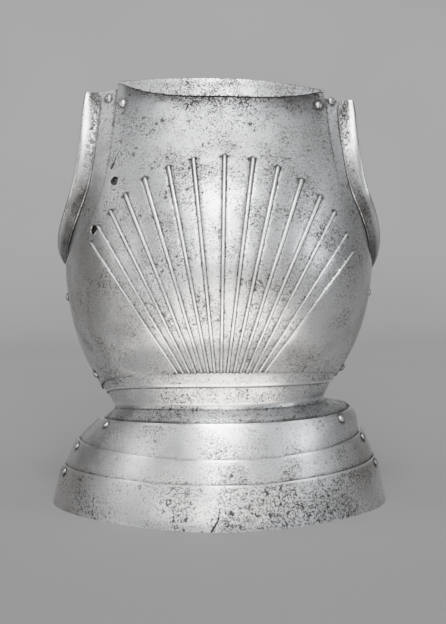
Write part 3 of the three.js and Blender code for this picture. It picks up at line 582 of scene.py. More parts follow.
def steel(name, base, pits, dark, tint_side=0.6, rough=0.34, brown=0.25, marks=(), fineness=1.0):
    """Polished old steel: a cool clean metal, greyer clouds, brown film, pits and scratches, with grime and
    painted shade, tarnish and painted shade, and a painted highlight laid on from the sheets' attributes.
    """
    material = bpy.data.materials.new(name)
    material.use_nodes = True
    t = Tree(material.node_tree)
    shader = next(n for n in t.nodes if n.type == "BSDF_PRINCIPLED")
    where = t.add("ShaderNodeTexCoord").outputs["Object"]
    groove, dirt_and_shade, crest, stain_and_shade = (t.attribute(key) for key in ("groove", "dirt_and_shade", "crest", "stain_and_shade"))
    aside = t.math("ABSOLUTE", t.add("ShaderNodeSeparateXYZ", {"Vector": where}).outputs[0])
    clouds = t.noise(where, 13.0, 6.0, 0.6, 0.3)
    film = t.noise(where, 31.0, 5.0, 0.62, 0.6)
    fine = t.noise(where, 900.0, 2.0, 0.5)
    dents = t.noise(where, 22.0, 2.0, 0.4)

    amount = t.math("ADD", pits, t.times(groove, 0.45))
    amount = t.math("ADD", amount, t.times(dirt_and_shade, 0.30))
    amount = t.math("SUBTRACT", amount, t.times(crest, 0.6))
    amount = t.math("SUBTRACT", amount, t.ramp(aside, 0.13, 0.175, 0.0, 0.16))
    pit = t.group(PITTING, Vector=where, Amount=amount, Fineness=fineness)
    scratch = t.math("MAXIMUM", *(t.group(SCRATCHES, Vector=where, Turn=turn)["Mask"] for turn in (0.45, -0.9)))
    nicks = None
    for form, (a, u, b, v, width) in marks:
        mark = t.group(MARK, Vector=where, Start=place(form(a, u)), End=place(form(b, v)),
                       Width=width / 1000)["Mask"]
        nicks = mark if nicks is None else t.math("MAXIMUM", nicks, mark)

    cool = tuple(c * cast for c, cast in zip(base, COOL_CAST))
    cloudy = tuple(c * CLOUD_SHADE for c in base)
    side = t.times(t.ramp(aside, 0.10, 0.175, 0.0, tint_side), t.ramp(film, 0.35, 0.65, 0.5, 1.0))
    # Tarnish and painted shade below the neck's hem, broken up by the clouds
    tarnish_and_shade_mask = t.times(stain_and_shade, t.ramp(clouds, 0.34, 0.58, 0.78, 1.0))
    # The dirt attribute carries grime and painted shade, which darken the colour below
    grime_and_shade = t.times(dirt_and_shade, t.ramp(clouds, 0.36, 0.60, 0.62, 1.0))
    color = t.mix(t.ramp(clouds, 0.44, 0.70, 0.0, 0.8), cool, cloudy)
    for mask, share, coat in (
            (side, 1.0, WARM_SIDE), (t.ramp(film, 0.55, 0.78, 0.0, brown), 1.0, BROWN_FILM),
            (t.ramp(fine, 0.36, 0.60, 0.24, 0.0), 1.0, GREY_GRAIN), (tarnish_and_shade_mask, 0.92, TARNISH_AND_SHADE_GREY),
            (crest, 0.85, PAINTED_HIGHLIGHT), (groove, 0.95, GROOVE_GRIME_AND_SHADE), (grime_and_shade, 0.95, GRIME_AND_SHADE_BROWN),
            (scratch, 0.3, SCRATCH_GREY), (pit["Mask"], dark, PIT_BLACK), (nicks, 0.96, NICK_BLACK)):
        if mask is not None:
            color = t.mix(t.times(mask, share), color, coat)

    roughness = t.math("ADD", rough, t.ramp(clouds, 0.35, 0.75, -0.03, 0.07))
    roughness = t.math("ADD", roughness, t.times(pit["Mask"], 0.35))
    roughness = t.math("SUBTRACT", roughness, t.times(crest, 0.08), clamp=True)
    height = t.math("ADD", t.times(pit["Height"], 0.55), t.times(fine, 0.05))
    height = t.math("ADD", height, t.times(scratch, -0.12))
    height = t.math("ADD", height, t.times(dents, 1.1))
    bump = t.add("ShaderNodeBump", {"Height": height, "Strength": 0.55, "Distance": 0.0006})
    shader.inputs["Metallic"].default_value = 1.0
    t.set(shader.inputs["Base Color"], color)
    t.set(shader.inputs["Roughness"], roughness)
    t.set(shader.inputs["Normal"], bump.outputs["Normal"])
    return material


breast_steel = steel("breast_steel_finish", (0.74, 0.74, 0.735), pits=0.525, dark=0.92,
                     marks=[(torso, m) for m in TORSO_MARKS])
gusset_steel = steel("gusset_steel_finish", (0.76, 0.76, 0.75), pits=0.48, dark=0.9, tint_side=0.35)
waist_steel = steel("waist_steel_finish", (0.70, 0.70, 0.70), pits=0.51, dark=0.9)
lame_steel = steel("lame_steel_finish", (0.85, 0.85, 0.845), pits=0.48, dark=0.9)
rim_steel = steel("rim_steel_finish", (0.84, 0.84, 0.84), pits=0.585, dark=0.95,
                  marks=[(fauld, m) for m in FAULD_MARKS], fineness=0.78)
rivet_steel = steel("rivet_steel_finish", (0.62, 0.61, 0.60), pits=0.50, dark=0.85, tint_side=0.2,
                    rough=0.3)


# The gussets' own layer under the main plate
GUSSET_LAYER = -(BREAST_WALL + GUSSET_GAP)
# name, angle and up at the left, angle and up at the right, offset of the seat, grip
TORSO_RIVETS = [
    ("gusset_rivet", -39.0, 0.928, 38.6, 0.922, 0.0, 0.5 * GUSSET_SINK + GUSSET_WALL - GUSSET_LAYER),
    ("shoulder_rivet", -47.2, 0.948, 46.8, 0.941, GUSSET_LAYER, GUSSET_WALL),
    ("side_rivet", -89.0, 0.402, 88.0, 0.388, 0.0, BREAST_WALL),
    ("waist_rivet", -82.0, 0.150, 84.0, 0.142, 0.0, BREAST_WALL + PLATE_GAP + WAIST_WALL),
]
# From a lame's top edge down to its pivots
PIVOT_DROP = 5.8


def round_rivets(points, sheet):
    """A dark ring of grime and painted shade round each rivet head that sits on a sheet."""
    ring = np.zeros(len(points))
    centres = []
    if sheet == "fauld":
        for top, _, _, left, right, _ in LAMES:
            centres += [fauld(angle, top - PIVOT_DROP / WAIST_HEIGHT) for angle in (left, right)]
    for name, la, lu, ra, ru, _, _ in TORSO_RIVETS:
        if (name == "shoulder_rivet") == (sheet == "gusset") and sheet != "fauld":
            centres += [torso(la, lu), torso(ra, ru)]
    for centre in centres:
        distance = np.linalg.norm(points - centre, axis=1)
        ring = np.maximum(ring, 0.95 * np.exp(-(np.clip(distance - 4.8, 0, None) / 2.0) ** 2))
    return ring


def neck_strip(columns):
    """Both faces of the neck's turned edge on each column, from the flare's start to the hem, with the share of
    the way up at which it starts, its grime and painted shade on both faces, and its angles and ups."""
    under, over, starts, dirt_and_shade, front, places = [], [], [], [], [], []
    for c in columns:
        taper = max(0.1, 1 - c * c)
        crest_angle, crest_up = main_place(c, 1.0)
        drop = torso(crest_angle, crest_up) - torso(crest_angle, crest_up - 0.05)
        slope = np.linalg.norm(drop) / 0.05
        flare = NECK_FLARE * math.sqrt(taper)
        start = 1 - flare / (slope * (MAIN_TOP - MAIN_FOOT))
        lower, upper = turned(NECK_TURN_WIDTH * taper, NECK_TURN_OUT * taper, flare,
                              NECK_HEM_LIFT * math.sqrt(taper), 0.0, BREAST_WALL)
        sides = []
        for section in (lower, upper):
            a, u = main_place(c, 1 - (1 - start) * section[:, 0] / flare)
            sides.append(raised(torso, a, u, section[:, 1]))
        places.append((a, u))
        under.append(sides[0])
        over.append(sides[1])
        starts.append(start)
        width = NECK_TURN_WIDTH * taper
        fold = np.arange(len(lower)) >= FLARE_POINTS
        # Grime and painted shade on the flare: full where the turned edge covers it, and a line just below the
        # hem
        below = np.clip(upper[:, 0] - width - 0.6, 0, None)
        shade = np.where(below <= 0, 1.0, 0.45 * np.exp(-(below / 5.0) ** 2))
        dirt_and_shade.append(np.where(fold, 0.1, shade * min(1.0, 3.5 * (1 - abs(c)) + 0.25)))
        # Grime and painted shade on the fold's front face: a line across it and a darker hem
        across = np.clip(lower[:, 0] / width, 0, 1)
        row = 0.42 * np.exp(-((across - 0.36) / 0.1) ** 2)
        hem = 0.75 * np.clip((across - 0.94) / 0.05, 0, 1)
        front.append(np.where(fold, np.maximum(row, hem), 0.3))
    return [np.array(v) for v in (under, over, starts, dirt_and_shade, front, places)]


def tarnish_and_hem_shade(angle, up):
    """Smooth grey darkening below the neck's hem, deeper towards the shoulders: tarnish and painted shade under
    the turned edge.
    """
    aside = np.clip(np.abs(angle) / ARM_EDGE[-1][1], 0, 1) ** 2
    below = np.clip((MAIN_TOP - up) * TORSO_HEIGHT - NECK_TURN_WIDTH * (1 - aside), 0, None)
    fade = np.exp(-(below / (23 + 30 * aside)) ** 2)
    return (0.92 + 0.08 * aside) * fade * np.clip((1 - aside) * 5, 0.45, 1)


def plate_outline(top, starts):
    """The main plate's outline as angle and up, from its foot round to the neck strip and back."""
    fan_side, fine, coarse = (-24, 22), 0.3, 1.2
    foot_angles = np.concatenate([np.arange(-SIDE_WRAP, fan_side[0], coarse), np.arange(*fan_side, fine),
                                  np.arange(fan_side[1], SIDE_WRAP + 0.01, coarse)])
    foot_angles[-1] = SIDE_WRAP
    foot = np.stack([foot_angles, np.full(len(foot_angles), MAIN_FOOT)], -1)

    def side(sign, end):
        corner = ARM_EDGE[0][0]
        share = np.concatenate([np.linspace(0.012, corner, 26),
                                np.linspace(corner + 0.004, end - 0.004, 130)])
        return np.stack(main_place(np.full(len(share), sign), share), -1)
    return np.vstack([foot, side(1.0, starts[-1]), top[::-1], side(-1.0, starts[0])[::-1]])


# Where the mesh has lines along each flute and past its upper end, in half widths of the flute
FLUTE_LINES = (-1.36, -1.16, -1.0, -0.86, -0.7, -0.54, -0.38, 0.0, 0.38, 0.54, 0.7, 0.86, 1.0, 1.16, 1.36)
PAST_LINES = (0.25, 0.5, 0.75, 1.0, 1.4)


def flute_lines():
    """Points along the flutes and round their upper ends, as angle and up."""
    lines = []
    for path in paths:
        length = np.linalg.norm(np.diff(path["points"], axis=0), axis=1).sum()
        share = np.linspace(0.012, 1.0, int(length / 2.6))
        a, u = (np.interp(share, path["share"], path[key]) for key in ("angle", "up"))
        base = torso(a, u)
        by_angle = (torso(a + 0.1, u) - base) / 0.1
        by_up = (torso(a, u + 0.001) - base) / 0.001
        along = unit(np.gradient(base, axis=0))
        sideways = unit(np.cross(along, normal(torso, a, u)))
        g11, g12, g22 = np.sum(by_angle ** 2, 1), np.sum(by_angle * by_up, 1), np.sum(by_up ** 2, 1)
        det = g11 * g22 - g12 ** 2
        b1, b2 = np.sum(by_angle * sideways, 1), np.sum(by_up * sideways, 1)
        da, du = (g22 * b1 - g12 * b2) / det, (g11 * b2 - g12 * b1) / det
        half = flute_half(path, share)
        for offset in FLUTE_LINES:
            lines.append(np.stack([a + offset * half * da, u + offset * half * du], -1))
        for past in PAST_LINES:
            spread = np.linspace(-1.4, 1.4, 11)[:, None]
            step = along[-1] * past * half[-1] + sideways[-1] * spread * half[-1]
            e1, e2 = step @ by_angle[-1], step @ by_up[-1]
            lines.append(np.stack([a[-1] + (g22[-1] * e1 - g12[-1] * e2) / det[-1],
                                   u[-1] + (g11[-1] * e2 - g12[-1] * e1) / det[-1]], -1))
    lines = np.vstack(lines)
    return lines[lines[:, 1] > MAIN_FOOT + 0.004]


def plain_lattice():
    """Evenly spread points clear of the flutes, as angle and up."""
    angles = np.arange(-SIDE_WRAP, SIDE_WRAP, 1.25)
    ups = np.arange(0.12, 1.0, 0.0078)
    lattice = np.array([(x + (0.62 if k % 2 else 0.0), y) for k, y in enumerate(ups) for x in angles])
    height, groove, _ = relief(torso(lattice[:, 0], lattice[:, 1]))
    return lattice[(np.abs(height) < 0.02) & (groove < 0.05)]


def flat_plate(outline, holes):
    """The main plate laid out flat: points in millimetres and triangles within the outline."""
    inner = np.vstack([flute_lines(), plain_lattice()]) * STRETCH
    inner = inner[inside(inner, outline)]
    for ring in holes:
        inner = inner[~inside(inner, ring)]
    loops = [outline, *holes]
    rims = np.vstack(loops)
    step = np.linalg.norm(np.diff(outline, axis=0), axis=1).mean()
    clear = np.ones(len(inner), bool)
    for k in range(0, len(inner), 2000):
        gaps = np.sum((inner[k:k + 2000, None] - rims[None]) ** 2, -1)
        clear[k:k + 2000] = np.min(gaps, 1) > (0.35 * step) ** 2
    points = np.vstack([rims, inner[clear]])
    edges, first = [], 0
    for loop in loops:
        edges += [(first + k, first + (k + 1) % len(loop)) for k in range(len(loop))]
        first += len(loop)
    verts, _, tris, *_ = delaunay_2d_cdt([Vector(p) for p in points], edges, [], 0, 1e-4)
    flat = np.array([tuple(v) for v in verts])
    tris = np.array([f for f in tris if len(f) == 3])
    middle = flat[tris].mean(1)
    keep = inside(middle, outline)
    for ring in holes:
        keep &= ~inside(middle, ring)
    tris = tris[keep]
    a, b, c = (flat[tris[:, k]] for k in range(3))
    area = (b - a)[:, 0] * (c - a)[:, 1] - (b - a)[:, 1] * (c - a)[:, 0]
    return flat, np.where((area > 0)[:, None], tris, tris[:, ::-1])


def make_breast_plate():
    spread = np.linspace(-1, 1, 221)
    columns = np.sign(spread) * np.abs(spread) ** 0.92
    under_neck, over_neck, starts, neck_dirt_and_shade, front_neck, places = neck_strip(columns)
    top = np.stack(main_place(columns, starts), -1)
    outline = plate_outline(top, starts) * STRETCH
    holes = [round_hole(angle, up, LANCE_HOLE) * STRETCH for angle, up in LANCE_HOLES]
    flat, tris = flat_plate(outline, holes)
    angle, up = flat[:, 0] / STRETCH[0], flat[:, 1] / STRETCH[1]
    base, out = torso(angle, up), normal(torso, angle, up)
    height, groove, crest = relief(base)
    over = base + out * height[:, None]
    under = base + out * (height - BREAST_WALL)[:, None]

    # The neck strip shares its first row with the top of the body
    match = [int(np.argmin(np.sum((flat - w) ** 2, 1))) for w in top * STRETCH]
    rows, steps = over_neck.shape[:2]
    index = np.empty((rows, steps), int)
    index[:, 0] = match
    index[:, 1:] = len(flat) + np.arange(rows * (steps - 1)).reshape(rows, steps - 1)
    faces = tris.tolist()
    for i in range(rows - 1):
        for j in range(steps - 1):
            faces.append([index[i, j], index[i + 1, j], index[i + 1, j + 1], index[i, j + 1]])
    faces = [[int(v) for v in f] for f in faces]
    over = np.vstack([over, over_neck[:, 1:].reshape(-1, 3)])
    under = np.vstack([under, under_neck[:, 1:].reshape(-1, 3)])

    # Grime and painted shade along the plate's foot, where it laps over the waist plate: arches over the flute
    # feet and the hollows between them
    foot = (up - MAIN_FOOT) * TORSO_HEIGHT
    fan = np.abs(angle - FOOT_SHIFT) < (FLUTE_COUNT / 2 + 0.3) * FOOT_SPREAD
    arches = np.exp(-(foot / 2.8) ** 2) * np.where(crest < 0.7, 1.0, 0.95)
    foot_dirt_and_shade = np.where(fan, arches, 0.45 * np.exp(-(foot / 1.5) ** 2))
    foot_dirt_and_shade = np.maximum(foot_dirt_and_shade, np.where(fan, 0.30 * np.exp(-foot / 26.0) * (crest < 0.4), 0))
    dirt_and_shade = np.concatenate([foot_dirt_and_shade, neck_dirt_and_shade[:, 1:].reshape(-1)])
    dirt_and_shade = np.maximum(dirt_and_shade, round_rivets(over, "main"))
    back_dirt_and_shade = np.concatenate([0.5 * foot_dirt_and_shade, 0.6 * front_neck[:, 1:].reshape(-1)])
    # Tarnish and painted shade below the neck's hem
    stain_and_shade = np.concatenate([tarnish_and_hem_shade(angle, up), tarnish_and_hem_shade(places[:, 0, 1:], places[:, 1, 1:]).reshape(-1)])
    bare = np.zeros(len(dirt_and_shade) - len(flat))
    return shell("breast_plate_sheet", over, under, faces, breast_steel, "cuirass", "breast_plate",
                 attributes={"groove": np.concatenate([groove, bare]), "crest": np.concatenate([crest, bare]),
                             "dirt_and_shade": np.concatenate([dirt_and_shade, back_dirt_and_shade]),
                             "stain_and_shade": np.concatenate([stain_and_shade, np.zeros(len(stain_and_shade))])}, rim_dirt_and_shade=0.9)


def round_hole(angle, up, diameter, sides=28):
    """A hole's rim on the torso, as angle and up."""
    base = torso(angle, up)
    da = np.linalg.norm(torso(angle + 0.1, up) - base) / 0.1
    du = np.linalg.norm(torso(angle, up + 0.001) - base) / 0.001
    turn = np.linspace(0, 2 * np.pi, sides, endpoint=False)
    return np.stack([angle + diameter / 2 * np.cos(turn) / da, up + diameter / 2 * np.sin(turn) / du], -1)


# Sections along each gusset, and how many of them lie under the main plate's edge
GUSSET_ROWS, LAP_POINTS = 110, 13
# middle, spread and strength of the smudges on the turned edge, by section from the shoulder down
SMUDGES = [(58, 7, 0.5), (3, 11, 1.0)]
# The sections where the painted shade of the lower end begins, and over how many it deepens
TIP_START, TIP_LENGTH = 74, 30


def make_gusset(left):
    sign = -1 if left else 1
    index = np.arange(len(GUSSET))
    at = np.linspace(0, len(GUSSET) - 1, GUSSET_ROWS)
    along, *crests, rise, turn = (curve(index, [r[k] for r in GUSSET])(at) for k in range(5))
    crest_angle = crests[0] if left else crests[1]
    edge_angle, edge_up = main_side(along, left)
    width = np.linalg.norm(torso(sign * edge_angle, edge_up)
                           - torso(sign * crest_angle, edge_up + rise), axis=-1)
    under, over, dirt_and_shade, front_dirt_and_shade, front_crest = [], [], [], [], []
    for k in range(GUSSET_ROWS):
        flare = min(ARM_FLARE, 0.8 * width[k])
        fold = min(ARM_TURN_WIDTH * turn[k], 0.6 * width[k])
        lower, upper = turned(fold, ARM_TURN_OUT * turn[k], flare, GUSSET_LAYER + ARM_HEM_LIFT,
                              GUSSET_LAYER, GUSSET_WALL)
        lap = np.linspace(width[k] + GUSSET_LAP, flare, LAP_POINTS + 1)[:-1]
        sunk = GUSSET_LAYER - GUSSET_SINK * np.clip(lap - width[k], 0, None) / GUSSET_LAP
        lower = np.vstack([np.stack([lap, sunk - GUSSET_WALL], -1), lower])
        upper = np.vstack([np.stack([lap, sunk], -1), upper])
        for section, side in ((lower, under), (upper, over)):
            share = section[:, 0] / width[k]
            a = sign * (crest_angle[k] + (edge_angle[k] - crest_angle[k]) * share)
            side.append(raised(torso, a, edge_up[k] + rise[k] * (1 - share), section[:, 1]))
        body = np.arange(len(upper)) < LAP_POINTS + FLARE_POINTS
        # Grime and painted shade on the gusset's body: a line under the hem of the turned edge, the part the
        # fold hides, a line along the main plate's edge, and the lower end
        hem_line = 0.8 * np.clip(1 - np.abs(upper[:, 0] - fold) / 2.2, 0, 1)
        hidden = np.clip((fold + 1.5 - upper[:, 0]) / 3, 0, 1)
        edge_line = np.clip((upper[:, 0] - width[k] + 4.8) / 2.4, 0, 1)
        tip = np.clip((k - TIP_START) / TIP_LENGTH, 0, 1)
        shade = np.where(body, np.maximum.reduce([hem_line, hidden, edge_line]), 0.10)
        dirt_and_shade.append(np.maximum(shade, 0.8 * tip))
        # On the fold's front face, painted tone: darker towards the hem and at the crest, with smudges of grime
        # and painted shade at the lower end
        across = np.clip(lower[:, 0] / fold, 0, 1)
        painted_edge_tone = 0.62 * np.clip((across - 0.36) / 0.22, 0, 1)
        painted_edge_tone = painted_edge_tone + 0.38 * np.clip((across - 0.92) / 0.05, 0, 1)
        painted_edge_tone = painted_edge_tone + 0.75 * np.clip((0.12 - across) / 0.08, 0, 1)
        smudge = sum(strength * math.exp(-((k - middle) / spread) ** 2)
                     for middle, spread, strength in SMUDGES)
        grime_and_shade = np.clip(painted_edge_tone + smudge * (0.45 + across) + 0.85 * tip, 0, 1)
        front_dirt_and_shade.append(np.where(body, 0.3, grime_and_shade))
        # A painted highlight along the fold's front face, fainter at the lower end
        bright = np.exp(-((across - 0.2) / 0.16) ** 2) * (1 - 0.8 * tip)
        front_crest.append(np.where(body, 0.0, bright))
    name = "arm_gusset_right" if left else "arm_gusset_left"
    under, over = np.array(under), np.array(over)
    rings = round_rivets(over.reshape(-1, 3), "gusset")
    dirt_and_shade = np.concatenate([np.maximum(np.array(dirt_and_shade).reshape(-1), rings), np.array(front_dirt_and_shade).reshape(-1)])
    crest = np.array(front_crest).reshape(-1)
    faces = grid_faces(over.shape[0], over.shape[1])
    if not left:
        faces = [f[::-1] for f in faces]
    return shell(name + "_sheet", over, under, faces, gusset_steel, "cuirass", name,
                 attributes={"dirt_and_shade": dirt_and_shade, "crest": np.concatenate([np.zeros(len(crest)), crest])},
                 rim_dirt_and_shade=0.6)


def lame_offset(number, up):
    """How far a lame stands out from the form, so that each lower one lies outside the one above."""
    top = LAMES[number][0]
    foot = LAMES[number + 1][0] if number + 1 < len(LAMES) else 0.0
    own = LAME_STEP * (up - foot) / (top - foot)
    if number + 1 < len(LAMES):
        return np.where(up < foot, lame_offset(number + 1, up) - LAME_STEP, own)
    return own


def end_room(number, angle):
    """The extra room behind the pivots of a lame and of those above it."""
    room = np.zeros_like(angle)
    for _, _, _, left, right, play in LAMES[:number + 1]:
        pivot = np.cos(np.radians(np.where(angle < 0, left, right)))
        room = room + play * np.clip((pivot - np.cos(np.radians(angle))) / pivot, 0, None)
    return room


# up from the step's middle in lips, share of the step's depth
STEP = [(1.4, 0.03), (0.7, 0.16), (0.0, 0.5), (-0.7, 0.84), (-1.4, 0.97)]


def waist_path():
    """The waist plate's section from its top down: whether on the torso, up, and offset or None."""
    cover = -(BREAST_WALL + PLATE_GAP)
    lip = 0.8 / TORSO_HEIGHT
    lap_top = MAIN_FOOT + WAIST_LAP / TORSO_HEIGHT
    flange_foot = LAMES[0][0] - LAME_LAP / WAIST_HEIGHT
    path = [(True, u, cover) for u in np.linspace(lap_top, BAND_FOOT + 2.6 * lip, 26)]
    path += [(True, BAND_FOOT + lips * lip, cover - BAND_STEP * share) for lips, share in STEP]
    path += [(True, u, cover - BAND_STEP) for u in np.linspace(BAND_FOOT - 2.6 * lip, 0.16 * BAND_FOOT, 10)]
    path += [(False, u, None) for u in np.linspace(0.994, flange_foot, 26)]
    return path


def hump(up, middle, height, spread):
    """A line across a plate at an up, which fades over a spread in millimetres."""
    return math.exp(-((up - middle) * height / spread) ** 2)


def make_waist():
    angles = np.linspace(-SIDE_WRAP, SIDE_WRAP, 241)
    over, under, dirt_and_shade, crest = [], [], [], []
    for in_torso, u, offset in waist_path():
        if in_torso:
            # Grime and painted shade in lines under the main plate's foot and below the band's step; a painted
            # highlight on the band's edge just above the step and at its lower end
            grime_and_shade = max(0.75 * hump(u, BAND_FOOT, TORSO_HEIGHT, 0.9),
                        0.95 * hump(u, MAIN_FOOT, TORSO_HEIGHT, 1.0))
            edge = 0.7 * hump(u, BAND_FOOT + 2.4 / TORSO_HEIGHT, TORSO_HEIGHT, 1.2)
            painted_edge_tone = max(edge, 0.3 if u < 0.012 else 0.0)
        else:
            offset = float(lame_offset(0, np.array(u)) - LAME_STEP) if u < LAMES[0][0] else 0.0
            # Grime and painted shade in the flange's crease, over the flange below it, and where the first lame
            # covers it and just above
            above = max(0.0, (u - LAMES[0][0]) * WAIST_HEIGHT - 2.2)
            crease = 0.9 * hump(u, 0.985, WAIST_HEIGHT, 1.1)
            grime_and_shade = max(crease, 0.30 if u < 0.97 else 0.0, math.exp(-above / 1.5))
            painted_edge_tone = 0.0
        form = torso if in_torso else fauld
        over.append(raised(form, angles, u, offset))
        under.append(raised(form, angles, u, offset - WAIST_WALL))
        dirt_and_shade.append(np.full(len(angles), grime_and_shade))
        crest.append(np.full(len(angles), painted_edge_tone))
    over, under = (np.array(v).transpose(1, 0, 2) for v in (over, under))
    faces = [f[::-1] for f in grid_faces(over.shape[0], over.shape[1])]
    return shell("waist_plate_sheet", over, under, faces, waist_steel, "cuirass", "waist_plate",
                 attributes={"dirt_and_shade": np.array(dirt_and_shade).T.reshape(-1), "crest": np.array(crest).T.reshape(-1)},
                 rim_dirt_and_shade=0.8)


def make_lame(number):
    top, left, right = LAMES[number][:3]
    last = number + 1 == len(LAMES)
    next_top = 0.0 if last else LAMES[number + 1][0]
    foot = 0.0 if last else next_top - LAME_LAP / WAIST_HEIGHT
    angles = np.linspace(left, right, 281)
    room = end_room(number, angles)
    over, under, dirt_and_shade, crest = [], [], [], []
    for u in np.linspace(foot, top, 44):
        offset = lame_offset(number, np.full(len(angles), u)) + room
        upper = raised(fauld, angles, u, offset)
        lower = raised(fauld, angles, u, offset - LAME_WALL)
        if u == 0.0:
            upper[:, 2] = lower[:, 2] = 0.0
        over.append(upper)
        under.append(lower)
        # Painted shade where the next lame laps over this one and in a line just above its top edge
        covered = 0.0 if last else 0.8 * math.exp(-max(0.0, (u - next_top) * WAIST_HEIGHT) / 1.6)
        dirt_and_shade.append(np.full(len(angles), covered))
        # A painted highlight along the lame's top edge
        crest.append(np.full(len(angles), hump(u, top, WAIST_HEIGHT, 1.7)))
    over, under = (np.array(v).transpose(1, 0, 2) for v in (over, under))
    dirt_and_shade = np.maximum(np.array(dirt_and_shade).T.reshape(-1), round_rivets(over.reshape(-1, 3), "fauld"))
    name = f"fauld_lame_{number + 1}"
    return shell(name + "_sheet", over, under, grid_faces(over.shape[0], over.shape[1]),
                 rim_steel if last else lame_steel, f"fauld_{number + 1}", name,
                 attributes={"dirt_and_shade": dirt_and_shade, "crest": np.array(crest).T.reshape(-1)}, rim_dirt_and_shade=0.8)


# The height of a rivet's tail, the play under its head, and how far its shank stands past the
# sheets it joins
TAIL_HEIGHT, SEAT_PLAY, TORSO_REACH, PIVOT_REACH = 1.2, 0.15, 0.6, 0.9


def rivet_group(material):
    """A domed rivet head on a washer-thin seat, its shank and its peened tail, along +Z."""
    group = bpy.data.node_groups.new("domed_rivet", "GeometryNodeTree")
    sockets = {}
    for key, value in (("Head Radius", 0.0044), ("Dome", 0.003), ("Shank Radius", 0.0021),
                       ("Grip", 0.004), ("Tail Radius", 0.0035)):
        item = group.interface.new_socket(name=key, in_out="INPUT", socket_type="NodeSocketFloat")
        item.default_value = value
        sockets[key] = item.identifier
    group.interface.new_socket(name="Geometry", in_out="OUTPUT", socket_type="NodeSocketGeometry")
    t = Tree(group)
    start, end = group.nodes.new("NodeGroupInput"), group.nodes.new("NodeGroupOutput")
    ball = t.add("GeometryNodeMeshUVSphere", {"Segments": 40, "Rings": 24, "Radius": 1.0}).outputs["Mesh"]
    position = t.add("GeometryNodeInputPosition").outputs[0]
    parts = t.add("ShaderNodeSeparateXYZ", {"Vector": position}).outputs
    flat = t.math("MAXIMUM", parts[2], 0.0)
    joined = t.add("ShaderNodeCombineXYZ", {"X": parts[0], "Y": parts[1], "Z": flat}).outputs[0]
    cap = t.add("GeometryNodeSetPosition", {"Geometry": ball, "Position": joined}).outputs[0]
    head_radius, dome = start.outputs["Head Radius"], start.outputs["Dome"]
    scale = t.add("ShaderNodeCombineXYZ", {"X": head_radius, "Y": head_radius, "Z": dome}).outputs[0]
    head = t.add("GeometryNodeTransform", {"Geometry": cap, "Scale": scale}).outputs[0]
    low = t.math("MULTIPLY", start.outputs["Grip"], -1.0)
    tail_radius = start.outputs["Tail Radius"]
    tail_scale = t.add("ShaderNodeCombineXYZ",
                       {"X": tail_radius, "Y": tail_radius, "Z": -TAIL_HEIGHT / 1000}).outputs[0]
    tail_place = t.add("ShaderNodeCombineXYZ", {"Z": low}).outputs[0]
    tail = t.add("GeometryNodeTransform",
                 {"Geometry": cap, "Scale": tail_scale, "Translation": tail_place}).outputs[0]
    tail = t.add("GeometryNodeFlipFaces", {"Mesh": tail}).outputs[0]
    shank = t.add("GeometryNodeMeshCylinder", {"Vertices": 20, "Radius": start.outputs["Shank Radius"],
                                               "Depth": start.outputs["Grip"]}).outputs["Mesh"]
    half = t.add("ShaderNodeCombineXYZ", {"Z": t.math("MULTIPLY", low, 0.5)}).outputs[0]
    shank = t.add("GeometryNodeTransform", {"Geometry": shank, "Translation": half}).outputs[0]
    join = t.add("GeometryNodeJoinGeometry")
    for piece in (head, tail, shank):
        t.links.new(piece, join.inputs[0])
    smooth = t.add("GeometryNodeSetShadeSmooth", {"Geometry": join.outputs[0]}).outputs[0]
    real = t.add("GeometryNodeRealizeInstances", {"Geometry": smooth}).outputs[0]
    coloured = t.add("GeometryNodeSetMaterial", {"Geometry": real, "Material": material}).outputs[0]
    t.links.new(coloured, end.inputs[0])
    return group, sockets


RIVETS = rivet_group(rivet_steel)


def make_rivet(name, point, out, grip, body, head=8.8, dome=3.0):
    group, sockets = RIVETS
    holder = bpy.data.objects.new(name + "_made", bpy.data.meshes.new(name + "_made"))
    bpy.context.scene.collection.objects.link(holder)
    modifier = holder.modifiers.new("rivet", "NODES")
    modifier.node_group = group
    modifier[sockets["Head Radius"]] = head / 2000
    modifier[sockets["Dome"]] = dome / 1000
    modifier[sockets["Grip"]] = grip / 1000
    made = holder.evaluated_get(bpy.context.evaluated_depsgraph_get())
    ready = bpy.data.meshes.new_from_object(made)
    bpy.data.objects.remove(holder)
    turn = Vector(out).to_track_quat("Z", "Y").to_matrix().to_4x4()
    # Grime and painted shade round the foot of the head
    heights = np.array([v.co.z for v in ready.vertices]) * 1000
    seat = ready.attributes.new("dirt_and_shade", "FLOAT", "POINT")
    seat.data.foreach_set("value", np.clip(1.15 - heights / (0.42 * dome), 0, 1))
    ready.transform(turn)
    ready.transform(Matrix.Translation(Vector(place(np.asarray(point)))))
    ready.name = name + "_head"
    obj = bpy.data.objects.new(name + "_head", ready)
    bpy.context.scene.collection.objects.link(obj)
    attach(obj, body)
    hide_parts(name)
    return obj


make_breast_plate()
make_gusset(True)
make_gusset(False)
make_waist()
for number in range(len(LAMES)):
    make_lame(number)

for name, la, lu, ra, ru, offset, grip in TORSO_RIVETS:
    for side, a, u in (("right", la, lu), ("left", ra, ru)):
        make_rivet(f"{name}_{side}", raised(torso, a, u, offset + SEAT_PLAY), normal(torso, a, u),
                   grip + TORSO_REACH, "cuirass")
for number, (top, _, _, left, right, _) in enumerate(LAMES):
    u = top - PIVOT_DROP / WAIST_HEIGHT
    for side, a in (("right", left), ("left", right)):
        offset = float(lame_offset(number, np.array(u)) + end_room(number, np.array(float(a))))
        wall = WAIST_WALL if number == 0 else LAME_WALL
        make_rivet(f"fauld_{number + 1}_rivet_{side}", raised(fauld, a, u, offset + SEAT_PLAY),
                   normal(fauld, a, u), LAME_STEP + wall + PIVOT_REACH, f"fauld_{number + 1}")


# The floor's front edge, where it starts to curve up, the curve's radius, the backdrop's top and
# half the width of both, in metres
FLOOR_FRONT, BEND_START, BEND_RADIUS, BACKDROP_TOP, STAGE_HALF = -14.0, 1.6, 1.2, 5.0, 60.0


